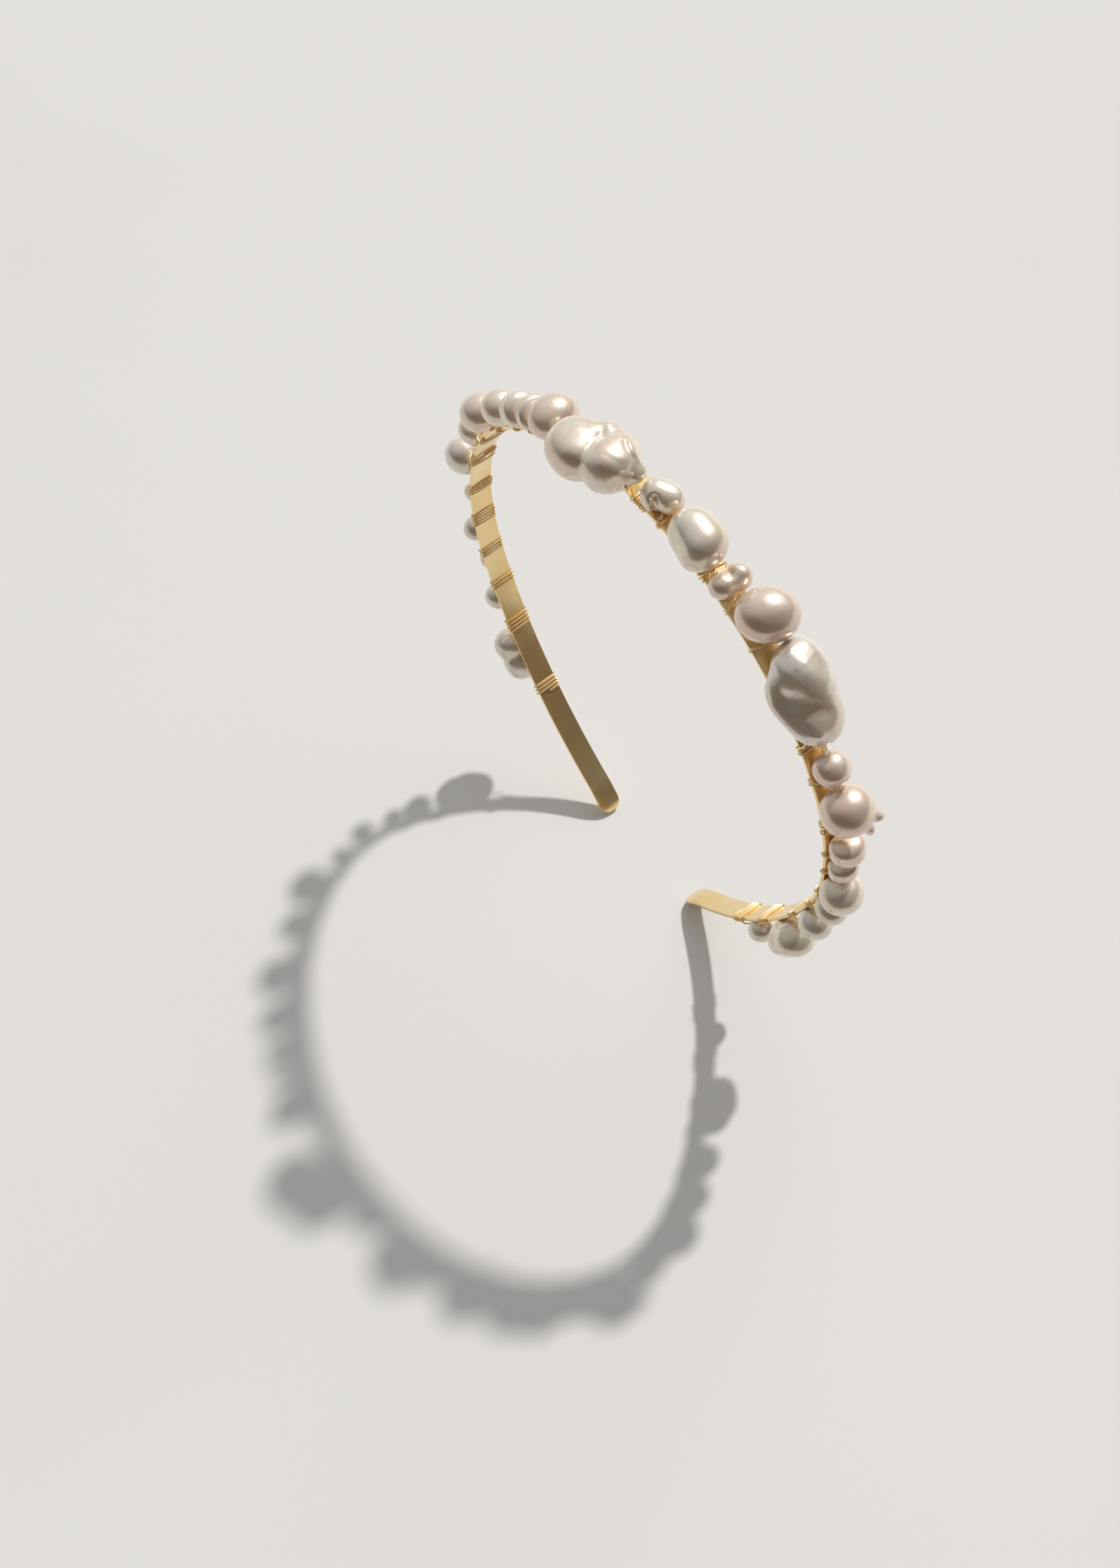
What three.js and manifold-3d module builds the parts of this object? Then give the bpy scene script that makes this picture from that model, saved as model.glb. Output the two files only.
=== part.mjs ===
// Pearl headband: a springy arch of flat brass strip worn over the crown of the head, with
// drilled freshwater pearls laced along its outer face by fine gold-coloured wire.
//
// Millimetres. X runs from the left arm to the right arm, Y across the strip and Z up. The
// origin is the middle of the strip's inner face at the crown, where it rests on the head.

import * as THREE from 'three';
import { mergeVertices } from 'three/addons/utils/BufferGeometryUtils.js';
import Module from 'manifold-3d';

const wasm = await Module();
wasm.setup();

// Strip, on its centreline from the crown down to each tip
const stripWidth = 5.8;
const stripThickness = 0.9;
const stripChamfer = 0.18;
const crownRadius = 65;
const crownSweep = 52;
const sideRadius = 61;
const sideSweep = 57.5;
const armRadius = 122;
const armLength = 67;
const tipRadius = 28;
const tipLength = 9;
const stripStep = 6;

// Flat stretches kept free of wire, where a pad or a clip can be fastened
const padLength = 8;
const crownPadPlace = -10;
const tipPadSetback = 8;

// Lacing wire
const wireDiameter = 0.4;
const wireSeat = 0.3;
const wirePitch = 1;
const wireSides = 5;
const leadSteps = 3;
const riseShare = 0.6;

// Pearls
const pearlSeat = 0.3;
const boreDiameter = 1;
const boreSides = 8;
const boreSkew = 0.8;
const boreHeightShare = 0.42;
const bigPearl = 13;
const smallPearl = 7;
const bigFacets = [18, 12];
const formedFacets = [16, 11];
const plainFacets = [12, 9];
const smallFacets = [10, 7];

// Crown gap between the first pearl of each arm, and how far it sits from the middle
const crownGap = 1;
const crownShift = 1.5;
const crownTurns = [2, 2];

// Wire wound on the bare strip past the last pearl of each arm
const tailRun = 1.6;
const leftTailTurns = 3;
const rightTailTurns = 4;

// Pearls of the left arm, from the crown down. long runs along the strip, tall stands off it
// and deep lies across it. gap is the clear run to the pearl before, and turns are the wire's
// turns in it: two numbers where one wire ends and the next begins. lean is the pearl's shift
// across the strip and boreShift its bore's. spin turns the pearl's form on its seat and
// boreTurn its bore, in degrees. colour is the number of its finish.
const leftPearls = [
  { name: 'pearl_left_01_twin', form: twinForm, long: 21.4, tall: 13, deep: 15.6, lean: -4.8,
    boreShift: -1.8, boreTurn: 16, colour: 0 },
  { name: 'pearl_left_02_oval', form: ovalForm, long: 10, tall: 9.6, deep: 11.6, lean: -1.8,
    gap: 3.7, turns: 2, colour: 1 },
  { name: 'pearl_left_03_button', form: buttonForm, long: 3.8, tall: 7.8, deep: 8.4, lean: -2,
    boreShift: -0.6, gap: 1.5, turns: 1, colour: 0 },
  { name: 'pearl_left_04_button', form: buttonForm, long: 6, tall: 8, deep: 8.6, lean: -2.2,
    boreShift: -0.8, gap: 1.5, turns: 1, colour: 0 },
  { name: 'pearl_left_05_round', form: ovalForm, long: 8.6, tall: 8.4, deep: 8.8, lean: -2.2,
    boreShift: -0.8, gap: 2, turns: 1, colour: 0 },
  { name: 'pearl_left_06_round', form: ovalForm, long: 9.6, tall: 9.2, deep: 9.6, lean: -2.4,
    boreShift: -0.8, gap: 2.8, turns: 1, colour: 1 },
  { name: 'pearl_left_07_drop', form: dropForm, long: 7.8, tall: 7.6, deep: 8, lean: -0.6,
    gap: 5.9, turns: 2, spin: 150, colour: 0 },
  { name: 'pearl_left_08_oval', form: ovalForm, long: 9.6, tall: 9, deep: 8.8, lean: -1.4,
    gap: 4.9, turns: [1, 1], colour: 2 },
  { name: 'pearl_left_09_seed', form: ovalForm, long: 4.8, tall: 4.8, deep: 5, lean: 0,
    gap: 6, turns: 2, colour: 0 },
  { name: 'pearl_left_10_drop', form: dropForm, long: 6, tall: 6, deep: 6.2, lean: -1.4,
    gap: 7.2, turns: 3, spin: 20, colour: 2 },
  { name: 'pearl_left_11_seed', form: ovalForm, long: 4.8, tall: 4.8, deep: 5, lean: 0,
    gap: 5.1, turns: 2, colour: 0 },
  { name: 'pearl_left_12_round', form: ovalForm, long: 6.6, tall: 6.4, deep: 6.6, lean: -1.2,
    gap: 5.5, turns: 2, colour: 2 },
  { name: 'pearl_left_13_baroque', form: baroqueForm, long: 15, tall: 9.8, deep: 11,
    lean: -1.2, gap: 7, turns: 3, colour: 2 },
];

// Pearls of the right arm, from the crown down
const rightPearls = [
  { name: 'pearl_right_01_notched', form: notchedForm, long: 9, tall: 7.8, deep: 9, lean: 0,
    boreTurn: 40, colour: 0 },
  { name: 'pearl_right_02_egg', form: eggForm, long: 13.4, tall: 11.6, deep: 11.6, lean: -1.6,
    gap: 1.2, turns: 1, spin: 8, colour: 0 },
  { name: 'pearl_right_03_drop', form: dropForm, long: 6.8, tall: 7.8, deep: 9.8, lean: 0,
    gap: 0.5, turns: 1, spin: -90, colour: 1 },
  { name: 'pearl_right_04_oval', form: ovalForm, long: 11.6, tall: 11.8, deep: 14.8, lean: 1.6,
    gap: 0.5, turns: 1, colour: 1 },
  { name: 'pearl_right_05_folded', form: foldedForm, long: 23.4, tall: 10.2, deep: 14.6, lean: 0.4,
    boreTurn: 16, gap: 0.4, turns: 1, colour: 2 },
  { name: 'pearl_right_06_round', form: ovalForm, long: 7.9, tall: 7.9, deep: 8.1, lean: 0.2,
    gap: 1.9, turns: 2, colour: 1 },
  { name: 'pearl_right_07_cusped', form: cuspedForm, long: 11.7, tall: 11.9, deep: 12, lean: 0,
    gap: 0.6, turns: 1, colour: 1 },
  { name: 'pearl_right_08_button', form: buttonForm, long: 6.8, tall: 7.4, deep: 8.2, lean: 0,
    gap: 4.2, turns: [1, 1], colour: 1 },
  { name: 'pearl_right_09_button', form: buttonForm, long: 5.6, tall: 6.2, deep: 7, lean: -0.6,
    gap: 0.9, turns: 1, colour: 1 },
  { name: 'pearl_right_10_round', form: ovalForm, long: 9.2, tall: 9.4, deep: 10, lean: -1.6,
    gap: 0.9, turns: 1, colour: 0 },
  { name: 'pearl_right_11_drop', form: dropForm, long: 7.6, tall: 7.6, deep: 8, lean: -1.2,
    gap: 2.7, turns: 1, spin: 40, colour: 2 },
  { name: 'pearl_right_12_round', form: ovalForm, long: 7.8, tall: 7.8, deep: 8.2, lean: -2,
    boreShift: -0.8, gap: 3.7, turns: 1, colour: 2 },
  { name: 'pearl_right_13_baroque', form: baroqueForm, long: 13.2, tall: 10, deep: 11.6,
    lean: -2.6, boreShift: -0.8, gap: 6, turns: 2, spin: 180, colour: 0 },
  { name: 'pearl_right_14_round', form: ovalForm, long: 6.2, tall: 6.2, deep: 6.4, lean: -1.6,
    boreShift: -0.6, gap: 8.6, turns: 4, colour: 2 },
];

const rad = THREE.MathUtils.degToRad;

// Materials
const brass = new THREE.MeshStandardMaterial({ color: 0xc9a04e, roughness: 0.22, metalness: 1 });
const wireGold = new THREE.MeshStandardMaterial({ color: 0xdcb868, roughness: 0.25, metalness: 1 });
const pearlColours = [0xeee7df, 0xe6d8d0, 0xdcdad2];
const pearlFinishes = pearlColours.map(
  (color) => new THREE.MeshStandardMaterial({ color, roughness: 0.28, metalness: 0 }),
);

// The centreline is arcs that meet without a kink. The tip's arc bends the other way.
const stretches = [
  { length: crownRadius * rad(crownSweep), radius: crownRadius },
  { length: sideRadius * rad(sideSweep), radius: sideRadius },
  { length: armLength, radius: armRadius },
  { length: tipLength, radius: -tipRadius },
];
const halfLength = stretches.reduce((sum, stretch) => sum + stretch.length, 0);

// Where the centreline is at a run from the crown, negative on the left arm: its place, the
// angle that it has turned through and how sharply it bends there.
function centreline(run) {
  const side = run < 0 ? -1 : 1;
  let left = Math.abs(run);
  let x = 0;
  let z = stripThickness / 2;
  let turn = 0;
  let bend = 0;
  for (const stretch of stretches) {
    const part = Math.min(left, stretch.length);
    const next = turn + part / stretch.radius;
    x += stretch.radius * (Math.sin(next) - Math.sin(turn));
    z += stretch.radius * (Math.cos(next) - Math.cos(turn));
    turn = next;
    bend = 1 / stretch.radius;
    left -= part;
    if (left <= 0) break;
  }
  return { x: side * x, z, turn: side * turn, bend };
}

// A point beside the centreline: across the strip along Y, and out from it on its pearl side.
function onStrip(run, across, out) {
  const place = centreline(run);
  const x = place.x + out * Math.sin(place.turn);
  const z = place.z + out * Math.cos(place.turn);
  return new THREE.Vector3(x, across, z);
}

// Axes along the strip, across it and out of it, set at a point.
function stripFrame(run, across, out) {
  const turned = new THREE.Matrix4().makeRotationY(centreline(run).turn);
  return turned.setPosition(onStrip(run, across, out));
}

// A closed geometry as a solid that can be cut and joined, and back again.
function toSolid(geometry) {
  const bare = geometry.clone();
  bare.deleteAttribute('normal');
  bare.deleteAttribute('uv');
  const merged = mergeVertices(bare);
  const vertProperties = new Float32Array(merged.attributes.position.array);
  const triVerts = new Uint32Array(merged.index.array);
  return new wasm.Manifold(new wasm.Mesh({ numProp: 3, vertProperties, triVerts }));
}

function toGeometry(solid) {
  const { vertProperties, triVerts } = solid.getMesh();
  const geometry = new THREE.BufferGeometry();
  geometry.setAttribute('position', new THREE.BufferAttribute(vertProperties, 3));
  geometry.setIndex(new THREE.BufferAttribute(triVerts, 1));
  geometry.computeVertexNormals();
  return geometry;
}

// Runs where the strip's outline has a point. Each pad is one flat between two of them.
function stripRuns() {
  const tipPad = halfLength - tipLength - tipPadSetback;
  const pads = [-tipPad, crownPadPlace, tipPad];
  const runs = [-halfLength];
  let from = -halfLength;
  for (const until of [...pads, halfLength]) {
    const isPad = pads.includes(until);
    const stop = isPad ? until - padLength / 2 : until;
    const count = Math.ceil((stop - from) / stripStep);
    for (let i = 1; i <= count; i++) {
      runs.push(from + ((stop - from) * i) / count);
    }
    if (isPad) {
      from = until + padLength / 2;
      runs.push(from);
    }
  }
  return runs;
}

// Cuts a strip end to a half circle as wide as the strip. The strip end is at zero.
function tipCutter() {
  const round = stripWidth / 2;
  const past = stripThickness;
  const outline = new THREE.Shape();
  outline.moveTo(-round, round);
  outline.absarc(-round, 0, round, Math.PI / 2, -Math.PI / 2, true);
  outline.lineTo(-round, -round - past);
  outline.lineTo(past, -round - past);
  outline.lineTo(past, round + past);
  outline.lineTo(-round, round + past);
  const depth = 3 * stripThickness;
  const curveSegments = 10;
  const options = { depth, bevelEnabled: false, curveSegments };
  return new THREE.ExtrudeGeometry(outline, options).translate(0, 0, -depth / 2);
}

// The strip is its side outline, drawn in X and Z and extruded across its width.
function buildStrip() {
  const runs = stripRuns();
  const half = stripThickness / 2;
  const outer = runs.map((run) => onStrip(run, 0, half));
  const inner = runs.map((run) => onStrip(run, 0, -half)).reverse();
  const outline = new THREE.Shape([...outer, ...inner].map((p) => new THREE.Vector2(p.x, p.z)));
  const body = new THREE.ExtrudeGeometry(outline, {
    depth: stripWidth - 2 * stripChamfer,
    bevelThickness: stripChamfer,
    bevelSize: stripChamfer,
    bevelOffset: -stripChamfer,
    bevelSegments: 1,
  });
  body.rotateX(Math.PI / 2);
  body.translate(0, stripWidth / 2 - stripChamfer, 0);
  let solid = toSolid(body);
  const rightCutter = tipCutter().applyMatrix4(stripFrame(halfLength, 0, 0));
  const leftCutter = tipCutter().rotateZ(Math.PI).applyMatrix4(stripFrame(-halfLength, 0, 0));
  solid = solid.subtract(toSolid(rightCutter)).subtract(toSolid(leftCutter));
  return toGeometry(solid);
}

// A ball whose points are moved by a rule on the unit sphere and then scaled to size. Its
// poles lie along the strip.
function mouldedBall(size, rule, around, rings, spin = 0) {
  const ball = new THREE.SphereGeometry(1, around, rings).rotateZ(Math.PI / 2);
  const points = ball.attributes.position;
  const upright = new THREE.Vector3(0, 0, 1);
  const p = new THREE.Vector3();
  for (let i = 0; i < points.count; i++) {
    p.fromBufferAttribute(points, i);
    p.applyAxisAngle(upright, -rad(spin));
    rule(p);
    p.applyAxisAngle(upright, rad(spin));
    points.setXYZ(i, (p.x * size.x) / 2, (p.y * size.y) / 2, (p.z * size.z) / 2);
  }
  return ball;
}

// Presses a smooth hollow into the unit sphere: its place, its depth and its spread.
function dent(p, { at, depthShare, spreadShare }) {
  const near = Math.exp(-p.distanceToSquared(at) / spreadShare ** 2);
  p.multiplyScalar(1 - depthShare * near);
}

// How many facets a plain pearl has round it and along it, by its length
function facets(pearl) {
  if (pearl.long > bigPearl) return bigFacets;
  if (pearl.long < smallPearl) return smallFacets;
  return plainFacets;
}

function sizeOf(pearl) {
  return new THREE.Vector3(pearl.long, pearl.deep, pearl.tall);
}

// Forms of the pearls, each in its own frame with X along the strip and Z out of it
function ovalForm(pearl) {
  return toSolid(mouldedBall(sizeOf(pearl), (p) => p, ...facets(pearl)));
}

// A button pearl is a little flat on the faces that its neighbours press on.
function buttonForm(pearl) {
  const flatShare = 0.12;
  const flatten = (p) => {
    p.x *= 1 + flatShare * (1 - p.x * p.x);
  };
  return toSolid(mouldedBall(sizeOf(pearl), flatten, ...facets(pearl)));
}

// A drop narrows towards one end.
function dropForm(pearl) {
  const taperShare = 0.16;
  const narrow = (p) => {
    const keep = 1 - taperShare * p.x;
    p.y *= keep;
    p.z *= Math.min(keep, 1);
  };
  return toSolid(mouldedBall(sizeOf(pearl), narrow, ...facets(pearl), pearl.spin));
}

// An egg with a shallow waist on the side that faces the front.
function eggForm(pearl) {
  const taperShare = 0.1;
  const waist = { at: new THREE.Vector3(0.25, -0.95, 0.1), depthShare: 0.12, spreadShare: 0.45 };
  const shape = (p) => {
    p.y *= 1 + taperShare * p.x;
    dent(p, waist);
  };
  return toSolid(mouldedBall(sizeOf(pearl), shape, ...facets(pearl), pearl.spin));
}

// A small keshi pearl with a deep notch at the front, where its wire comes out.
function notchedForm(pearl) {
  const hollows = [
    { at: new THREE.Vector3(0.45, -0.85, 0.1), depthShare: 0.14, spreadShare: 0.3 },
    { at: new THREE.Vector3(0.5, -0.75, -0.55), depthShare: 0.16, spreadShare: 0.34 },
    { at: new THREE.Vector3(-0.5, 0.1, 0.9), depthShare: 0.1, spreadShare: 0.5 },
  ];
  const shape = (p) => hollows.forEach((hollow) => dent(p, hollow));
  return toSolid(mouldedBall(sizeOf(pearl), shape, ...formedFacets));
}

// A large lumpy pearl with hollows round it.
function baroqueForm(pearl) {
  const hollows = [
    new THREE.Vector3(0.2, -0.7, 0.7),
    new THREE.Vector3(-0.55, 0.5, 0.65),
    new THREE.Vector3(0.45, 0.85, 0.2),
    new THREE.Vector3(-0.4, -0.9, -0.1),
  ];
  const depthShare = 0.16;
  const spreadShare = 0.38;
  const taperShare = 0.14;
  const shape = (p) => {
    p.y *= 1 + taperShare * p.x;
    hollows.forEach((at) => dent(p, { at, depthShare, spreadShare }));
  };
  return toSolid(mouldedBall(sizeOf(pearl), shape, ...facets(pearl), pearl.spin));
}

// One lobe of a pearl that grew as several: its size and its place as shares of the pearl's,
// and how far it is swung round on its seat.
function lobe(pearl, sizeShare, placeShare, swing, rule) {
  const size = sizeOf(pearl).multiply(new THREE.Vector3(...sizeShare));
  const place = sizeOf(pearl).multiply(new THREE.Vector3(...placeShare));
  const ball = mouldedBall(size, rule, ...facets(pearl)).rotateZ(rad(swing));
  return toSolid(ball.translate(place.x, place.y, place.z));
}

// Two round pearls grown together and bridged at the back, the right one creased and with a
// crest and a small nub.
function twinForm(pearl) {
  const ridgeShare = 0.05;
  const creasedShare = 0.4;
  const foldsAcross = 5;
  const foldsAlong = 4;
  const crestSwing = -30;
  const creases = (p) => {
    const back = Math.max(p.y + creasedShare, 0);
    const ridge = Math.sin(foldsAcross * p.y + foldsAlong * p.x) * Math.max(p.z, 0) * back;
    p.multiplyScalar(1 + ridgeShare * ridge);
  };
  const smooth = lobe(pearl, [0.65, 0.84, 1], [-0.15, -0.12, 0], 0, (p) => p);
  const creased = lobe(pearl, [0.45, 0.82, 0.79], [0.17, 0.02, -0.1], 0, creases);
  const bridge = lobe(pearl, [0.51, 0.51, 0.74], [0.01, 0.27, 0], 0, (p) => p);
  const crest = lobe(pearl, [0.43, 0.6, 0.7], [0.24, 0.17, -0.02], crestSwing, (p) => p);
  const nub = lobe(pearl, [0.21, 0.28, 0.34], [0.4, 0.22, -0.24], 0, (p) => p);
  return smooth.add(creased).add(bridge).add(crest).add(nub);
}

// A folded keshi pearl: an upper lobe with a blunt tip, laid over a wide hollowed bowl.
function foldedForm(pearl) {
  const at = new THREE.Vector3(-0.24, -0.46, 0.86);
  const hollow = (p) => dent(p, { at, depthShare: 0.2, spreadShare: 0.5 });
  const bowlSwing = 6;
  const bowl = lobe(pearl, [0.74, 0.9, 0.98], [0.11, 0.01, -0.02], bowlSwing, hollow);
  const upper = lobe(pearl, [0.63, 0.92, 1], [-0.14, 0.08, 0], 0, (p) => p);
  const tip = lobe(pearl, [0.33, 0.45, 0.75], [-0.33, 0.22, -0.08], 0, (p) => p);
  return bowl.add(upper).add(tip);
}

// A round pearl with two small pointed growths on its far side.
function cuspedForm(pearl) {
  const cuspShare = 0.14;
  const cuspSides = 6;
  const cusp = pearl.long * cuspShare;
  const body = toSolid(mouldedBall(sizeOf(pearl), (p) => p, ...formedFacets));
  const places = [[0.38, 0.67, 0.65], [0.76, 0.25, 0.6]];
  return places.reduce((solid, share) => {
    const out = new THREE.Vector3(...share).normalize();
    const cone = new THREE.ConeGeometry(cusp / 2, 2 * cusp, cuspSides);
    cone.applyQuaternion(new THREE.Quaternion().setFromUnitVectors(new THREE.Vector3(0, 1, 0), out));
    const at = out.clone().multiply(sizeOf(pearl)).multiplyScalar(0.5);
    return solid.add(toSolid(cone.translate(at.x, at.y, at.z)));
  }, body);
}

// Sets each pearl's run along the strip, from its own length, its neighbour's and the gap.
// The pearls stand on the outside of the bend, so the strip between them is shorter.
function layOut(pearls, direction) {
  let run = crownShift;
  let reach = crownGap / 2;
  for (const pearl of pearls) {
    const clear = pearl.gap ?? 0;
    const height = stripThickness / 2 + pearlSeat + pearl.tall / 2;
    const stretch = 1 + height * centreline(run).bend;
    run += (direction * (reach + clear + pearl.long / 2)) / stretch;
    reach = pearl.long / 2;
    pearl.run = run;
  }
}

// Shapes a pearl, sets it on the strip and drills it. The bore lies low, over the middle of
// the strip, and a little askew, so the wire enters at the back and leaves at the front.
function buildPearl(pearl) {
  const blank = toGeometry(pearl.form(pearl));
  blank.computeBoundingBox();
  const foot = blank.boundingBox.min.z;
  const height = stripThickness / 2 + pearlSeat - foot;
  const frame = stripFrame(pearl.run, pearl.lean, height);
  const skew = Math.atan2(2 * boreSkew, pearl.long);
  const heading = pearl.boreTurn === undefined ? skew : rad(pearl.boreTurn);
  const along = new THREE.Vector3(Math.cos(heading), -Math.sin(heading), 0);
  const across = (pearl.boreShift ?? 0) - pearl.lean;
  const middle = new THREE.Vector3(0, across, foot * (1 - boreHeightShare));
  const span = pearl.long + pearl.deep;
  const drill = new THREE.CylinderGeometry(boreDiameter / 2, boreDiameter / 2, 2 * span, boreSides);
  drill.rotateZ(Math.PI / 2 - heading);
  drill.translate(middle.x, middle.y, middle.z);
  pearl.enter = mouth(blank, middle, along, -span).applyMatrix4(frame);
  pearl.leave = mouth(blank, middle, along, span).applyMatrix4(frame);
  pearl.heading = along.transformDirection(frame);
  const drilled = toGeometry(toSolid(blank).subtract(toSolid(drill)));
  const mesh = new THREE.Mesh(drilled, pearlFinishes[pearl.colour]);
  mesh.name = pearl.name;
  mesh.applyMatrix4(frame);
  return mesh;
}

// Where the bore's axis comes out of the pearl, seen from a distance outside it.
function mouth(geometry, middle, along, distance) {
  const from = middle.clone().addScaledVector(along, distance);
  const towards = along.clone().multiplyScalar(-Math.sign(distance));
  const body = new THREE.Mesh(geometry, new THREE.MeshBasicMaterial({ side: THREE.DoubleSide }));
  const hits = new THREE.Raycaster(from, towards).intersectObject(body);
  return hits[0].point;
}

// One turn round the strip: eight corners, from the front edge under to the back edge and
// over. Each is its place across and out, with the share of the turn's length before it.
function turnCorners() {
  const hug = wireDiameter / 2 + wireSeat;
  const nearShare = 0.3;
  const farShare = 1.1;
  const wideFar = stripWidth / 2 + farShare * hug;
  const wideNear = stripWidth / 2 + nearShare * hug;
  const thickFar = stripThickness / 2 + farShare * hug;
  const thickNear = stripThickness / 2 + nearShare * hug;
  const corners = [
    new THREE.Vector2(-wideFar, thickNear),
    new THREE.Vector2(-wideFar, -thickNear),
    new THREE.Vector2(-wideNear, -thickFar),
    new THREE.Vector2(wideNear, -thickFar),
    new THREE.Vector2(wideFar, -thickNear),
    new THREE.Vector2(wideFar, thickNear),
    new THREE.Vector2(wideNear, thickFar),
    new THREE.Vector2(-wideNear, thickFar),
  ];
  const lengths = corners.map((corner, i) => corner.distanceTo(corners[(i + 1) % corners.length]));
  const total = lengths.reduce((sum, length) => sum + length, 0);
  let before = 0;
  return corners.map((corner, i) => {
    const placed = { across: corner.x, out: corner.y, share: before / total };
    before += lengths[i];
    return placed;
  });
}

// Corners at which a wire can start under the strip, and at which half a turn ends over its
// back edge
const corners = turnCorners();
const underStart = 2;
const backStart = corners.length / 2 + 1;
const halfTurn = corners[backStart].share;

// Points of a winding from one corner to another, counted in eighths of a turn.
function winding(start, firstCorner, lastCorner) {
  const points = [];
  for (let i = firstCorner; i <= lastCorner; i++) {
    const corner = corners[i % corners.length];
    const turned = Math.floor(i / corners.length) + corner.share;
    points.push(onStrip(start + turned * wirePitch, corner.across, corner.out));
  }
  return points;
}

// A wire's cut end lies on the inner face, halfway across.
function cutEnd(start, turned) {
  const share = (corners[underStart].share + corners[underStart + 1].share) / 2;
  return onStrip(start + (turned + share) * wirePitch, 0, corners[underStart].out);
}

// A smooth run from the strip's edge to a bore's mouth, without the two points themselves.
// It stands up from the edge before it leans in to the bore.
function lead(edge, upward, mouthPoint, inward) {
  const rise = edge.distanceTo(mouthPoint) * riseShare;
  const curve = new THREE.CubicBezierCurve3(
    edge,
    edge.clone().addScaledVector(upward, rise),
    mouthPoint.clone().addScaledVector(inward, -wireDiameter),
    mouthPoint,
  );
  return curve.getPoints(leadSteps).slice(1, -1);
}

// Out of a bore: straight for one diameter, then down to the strip's front edge.
function leaveBore(pearl, first) {
  const clear = pearl.leave.clone().addScaledVector(pearl.heading, wireDiameter);
  const upward = first[0].clone().sub(first[1]).normalize();
  const inward = pearl.heading.clone().negate();
  return [pearl.leave, clear, ...lead(first[0], upward, clear, inward).reverse()];
}

// Up from the strip's back edge and straight into a bore.
function enterBore(pearl, last) {
  const clear = pearl.enter.clone().addScaledVector(pearl.heading, -wireDiameter);
  const upward = last[1].clone().sub(last[0]).normalize();
  return [...lead(last[1], upward, clear, pearl.heading), clear, pearl.enter];
}

// Runs along the strip taken up by windings with these whole turns and a last half turn.
function windingRun(turns) {
  return (turns + halfTurn) * wirePitch;
}

// How far along the strip a point lies, found by halving.
function runAt(point) {
  let low = -halfLength;
  let high = halfLength;
  const halvings = 40;
  for (let i = 0; i < halvings; i++) {
    const middle = (low + high) / 2;
    const ahead = stripFrame(middle, 0, 0).invert();
    if (point.clone().applyMatrix4(ahead).x > 0) low = middle;
    else high = middle;
  }
  return (low + high) / 2;
}

// Follows the pearls from the left tail to the right one and returns the wires' centrelines.
function routeWires(pearls) {
  const routes = [];
  const turn = corners.length;
  const firstEnd = runAt(pearls[0].enter) - tailRun;
  const firstStart = firstEnd - windingRun(leftTailTurns);
  let route = [cutEnd(firstStart, 0),
    ...winding(firstStart, underStart + 1, leftTailTurns * turn + backStart)];
  pearls.forEach((pearl, i) => {
    route.push(...enterBore(pearl, route.slice(-2)));
    const next = pearls[i + 1];
    const turns = next ? [pearl.turnsAfter].flat() : [rightTailTurns];
    const from = runAt(pearl.leave);
    const until = next ? runAt(next.enter) : from + 2 * tailRun + windingRun(rightTailTurns);
    const used = turns.reduce((sum, count) => sum + windingRun(count), 0)
      + (turns.length - 1) * (wirePitch - halfTurn * wirePitch);
    const start = (from + until - used) / 2;
    const ends = turns.length > 1 || !next;
    const lastCorner = turns[0] * turn + (ends ? underStart : backStart);
    const points = winding(start, 0, lastCorner);
    route.push(...leaveBore(pearl, points), ...points);
    if (!ends) return;
    route.push(cutEnd(start, turns[0]));
    routes.push(route);
    if (!next) return;
    const again = start + (turns[0] + 1) * wirePitch;
    route = [cutEnd(again, 0), ...winding(again, underStart + 1, turns[1] * turn + backStart)];
  });
  return routes;
}

// A tube of flat facets along points, closed at both ends. Each ring is the one before it,
// turned no more than the wire's bend turns it.
function wireTube(points) {
  const radius = wireDiameter / 2;
  const positions = [];
  const faces = [];
  const side = new THREE.Vector3(0, 0, 1);
  points.forEach((point, i) => {
    const before = points[Math.max(i - 1, 0)];
    const after = points[Math.min(i + 1, points.length - 1)];
    const into = point.clone().sub(before).normalize();
    const outOf = after.clone().sub(point).normalize();
    const heading = into.clone().add(outOf).normalize();
    side.addScaledVector(heading, -side.dot(heading)).normalize();
    const up = heading.clone().cross(side);
    for (let k = 0; k < wireSides; k++) {
      const angle = (2 * Math.PI * k) / wireSides;
      const rim = point.clone()
        .addScaledVector(side, radius * Math.cos(angle))
        .addScaledVector(up, radius * Math.sin(angle));
      positions.push(rim.x, rim.y, rim.z);
    }
    if (i === 0) return;
    const ring = i * wireSides;
    for (let k = 0; k < wireSides; k++) {
      const next = (k + 1) % wireSides;
      faces.push(ring - wireSides + k, ring - wireSides + next, ring + k);
      faces.push(ring - wireSides + next, ring + next, ring + k);
    }
  });
  const last = (points.length - 1) * wireSides;
  for (let k = 1; k < wireSides - 1; k++) {
    faces.push(0, k + 1, k);
    faces.push(last, last + k, last + k + 1);
  }
  const geometry = new THREE.BufferGeometry();
  geometry.setAttribute('position', new THREE.Float32BufferAttribute(positions, 3));
  geometry.setIndex(faces);
  geometry.computeVertexNormals();
  return geometry;
}

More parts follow.
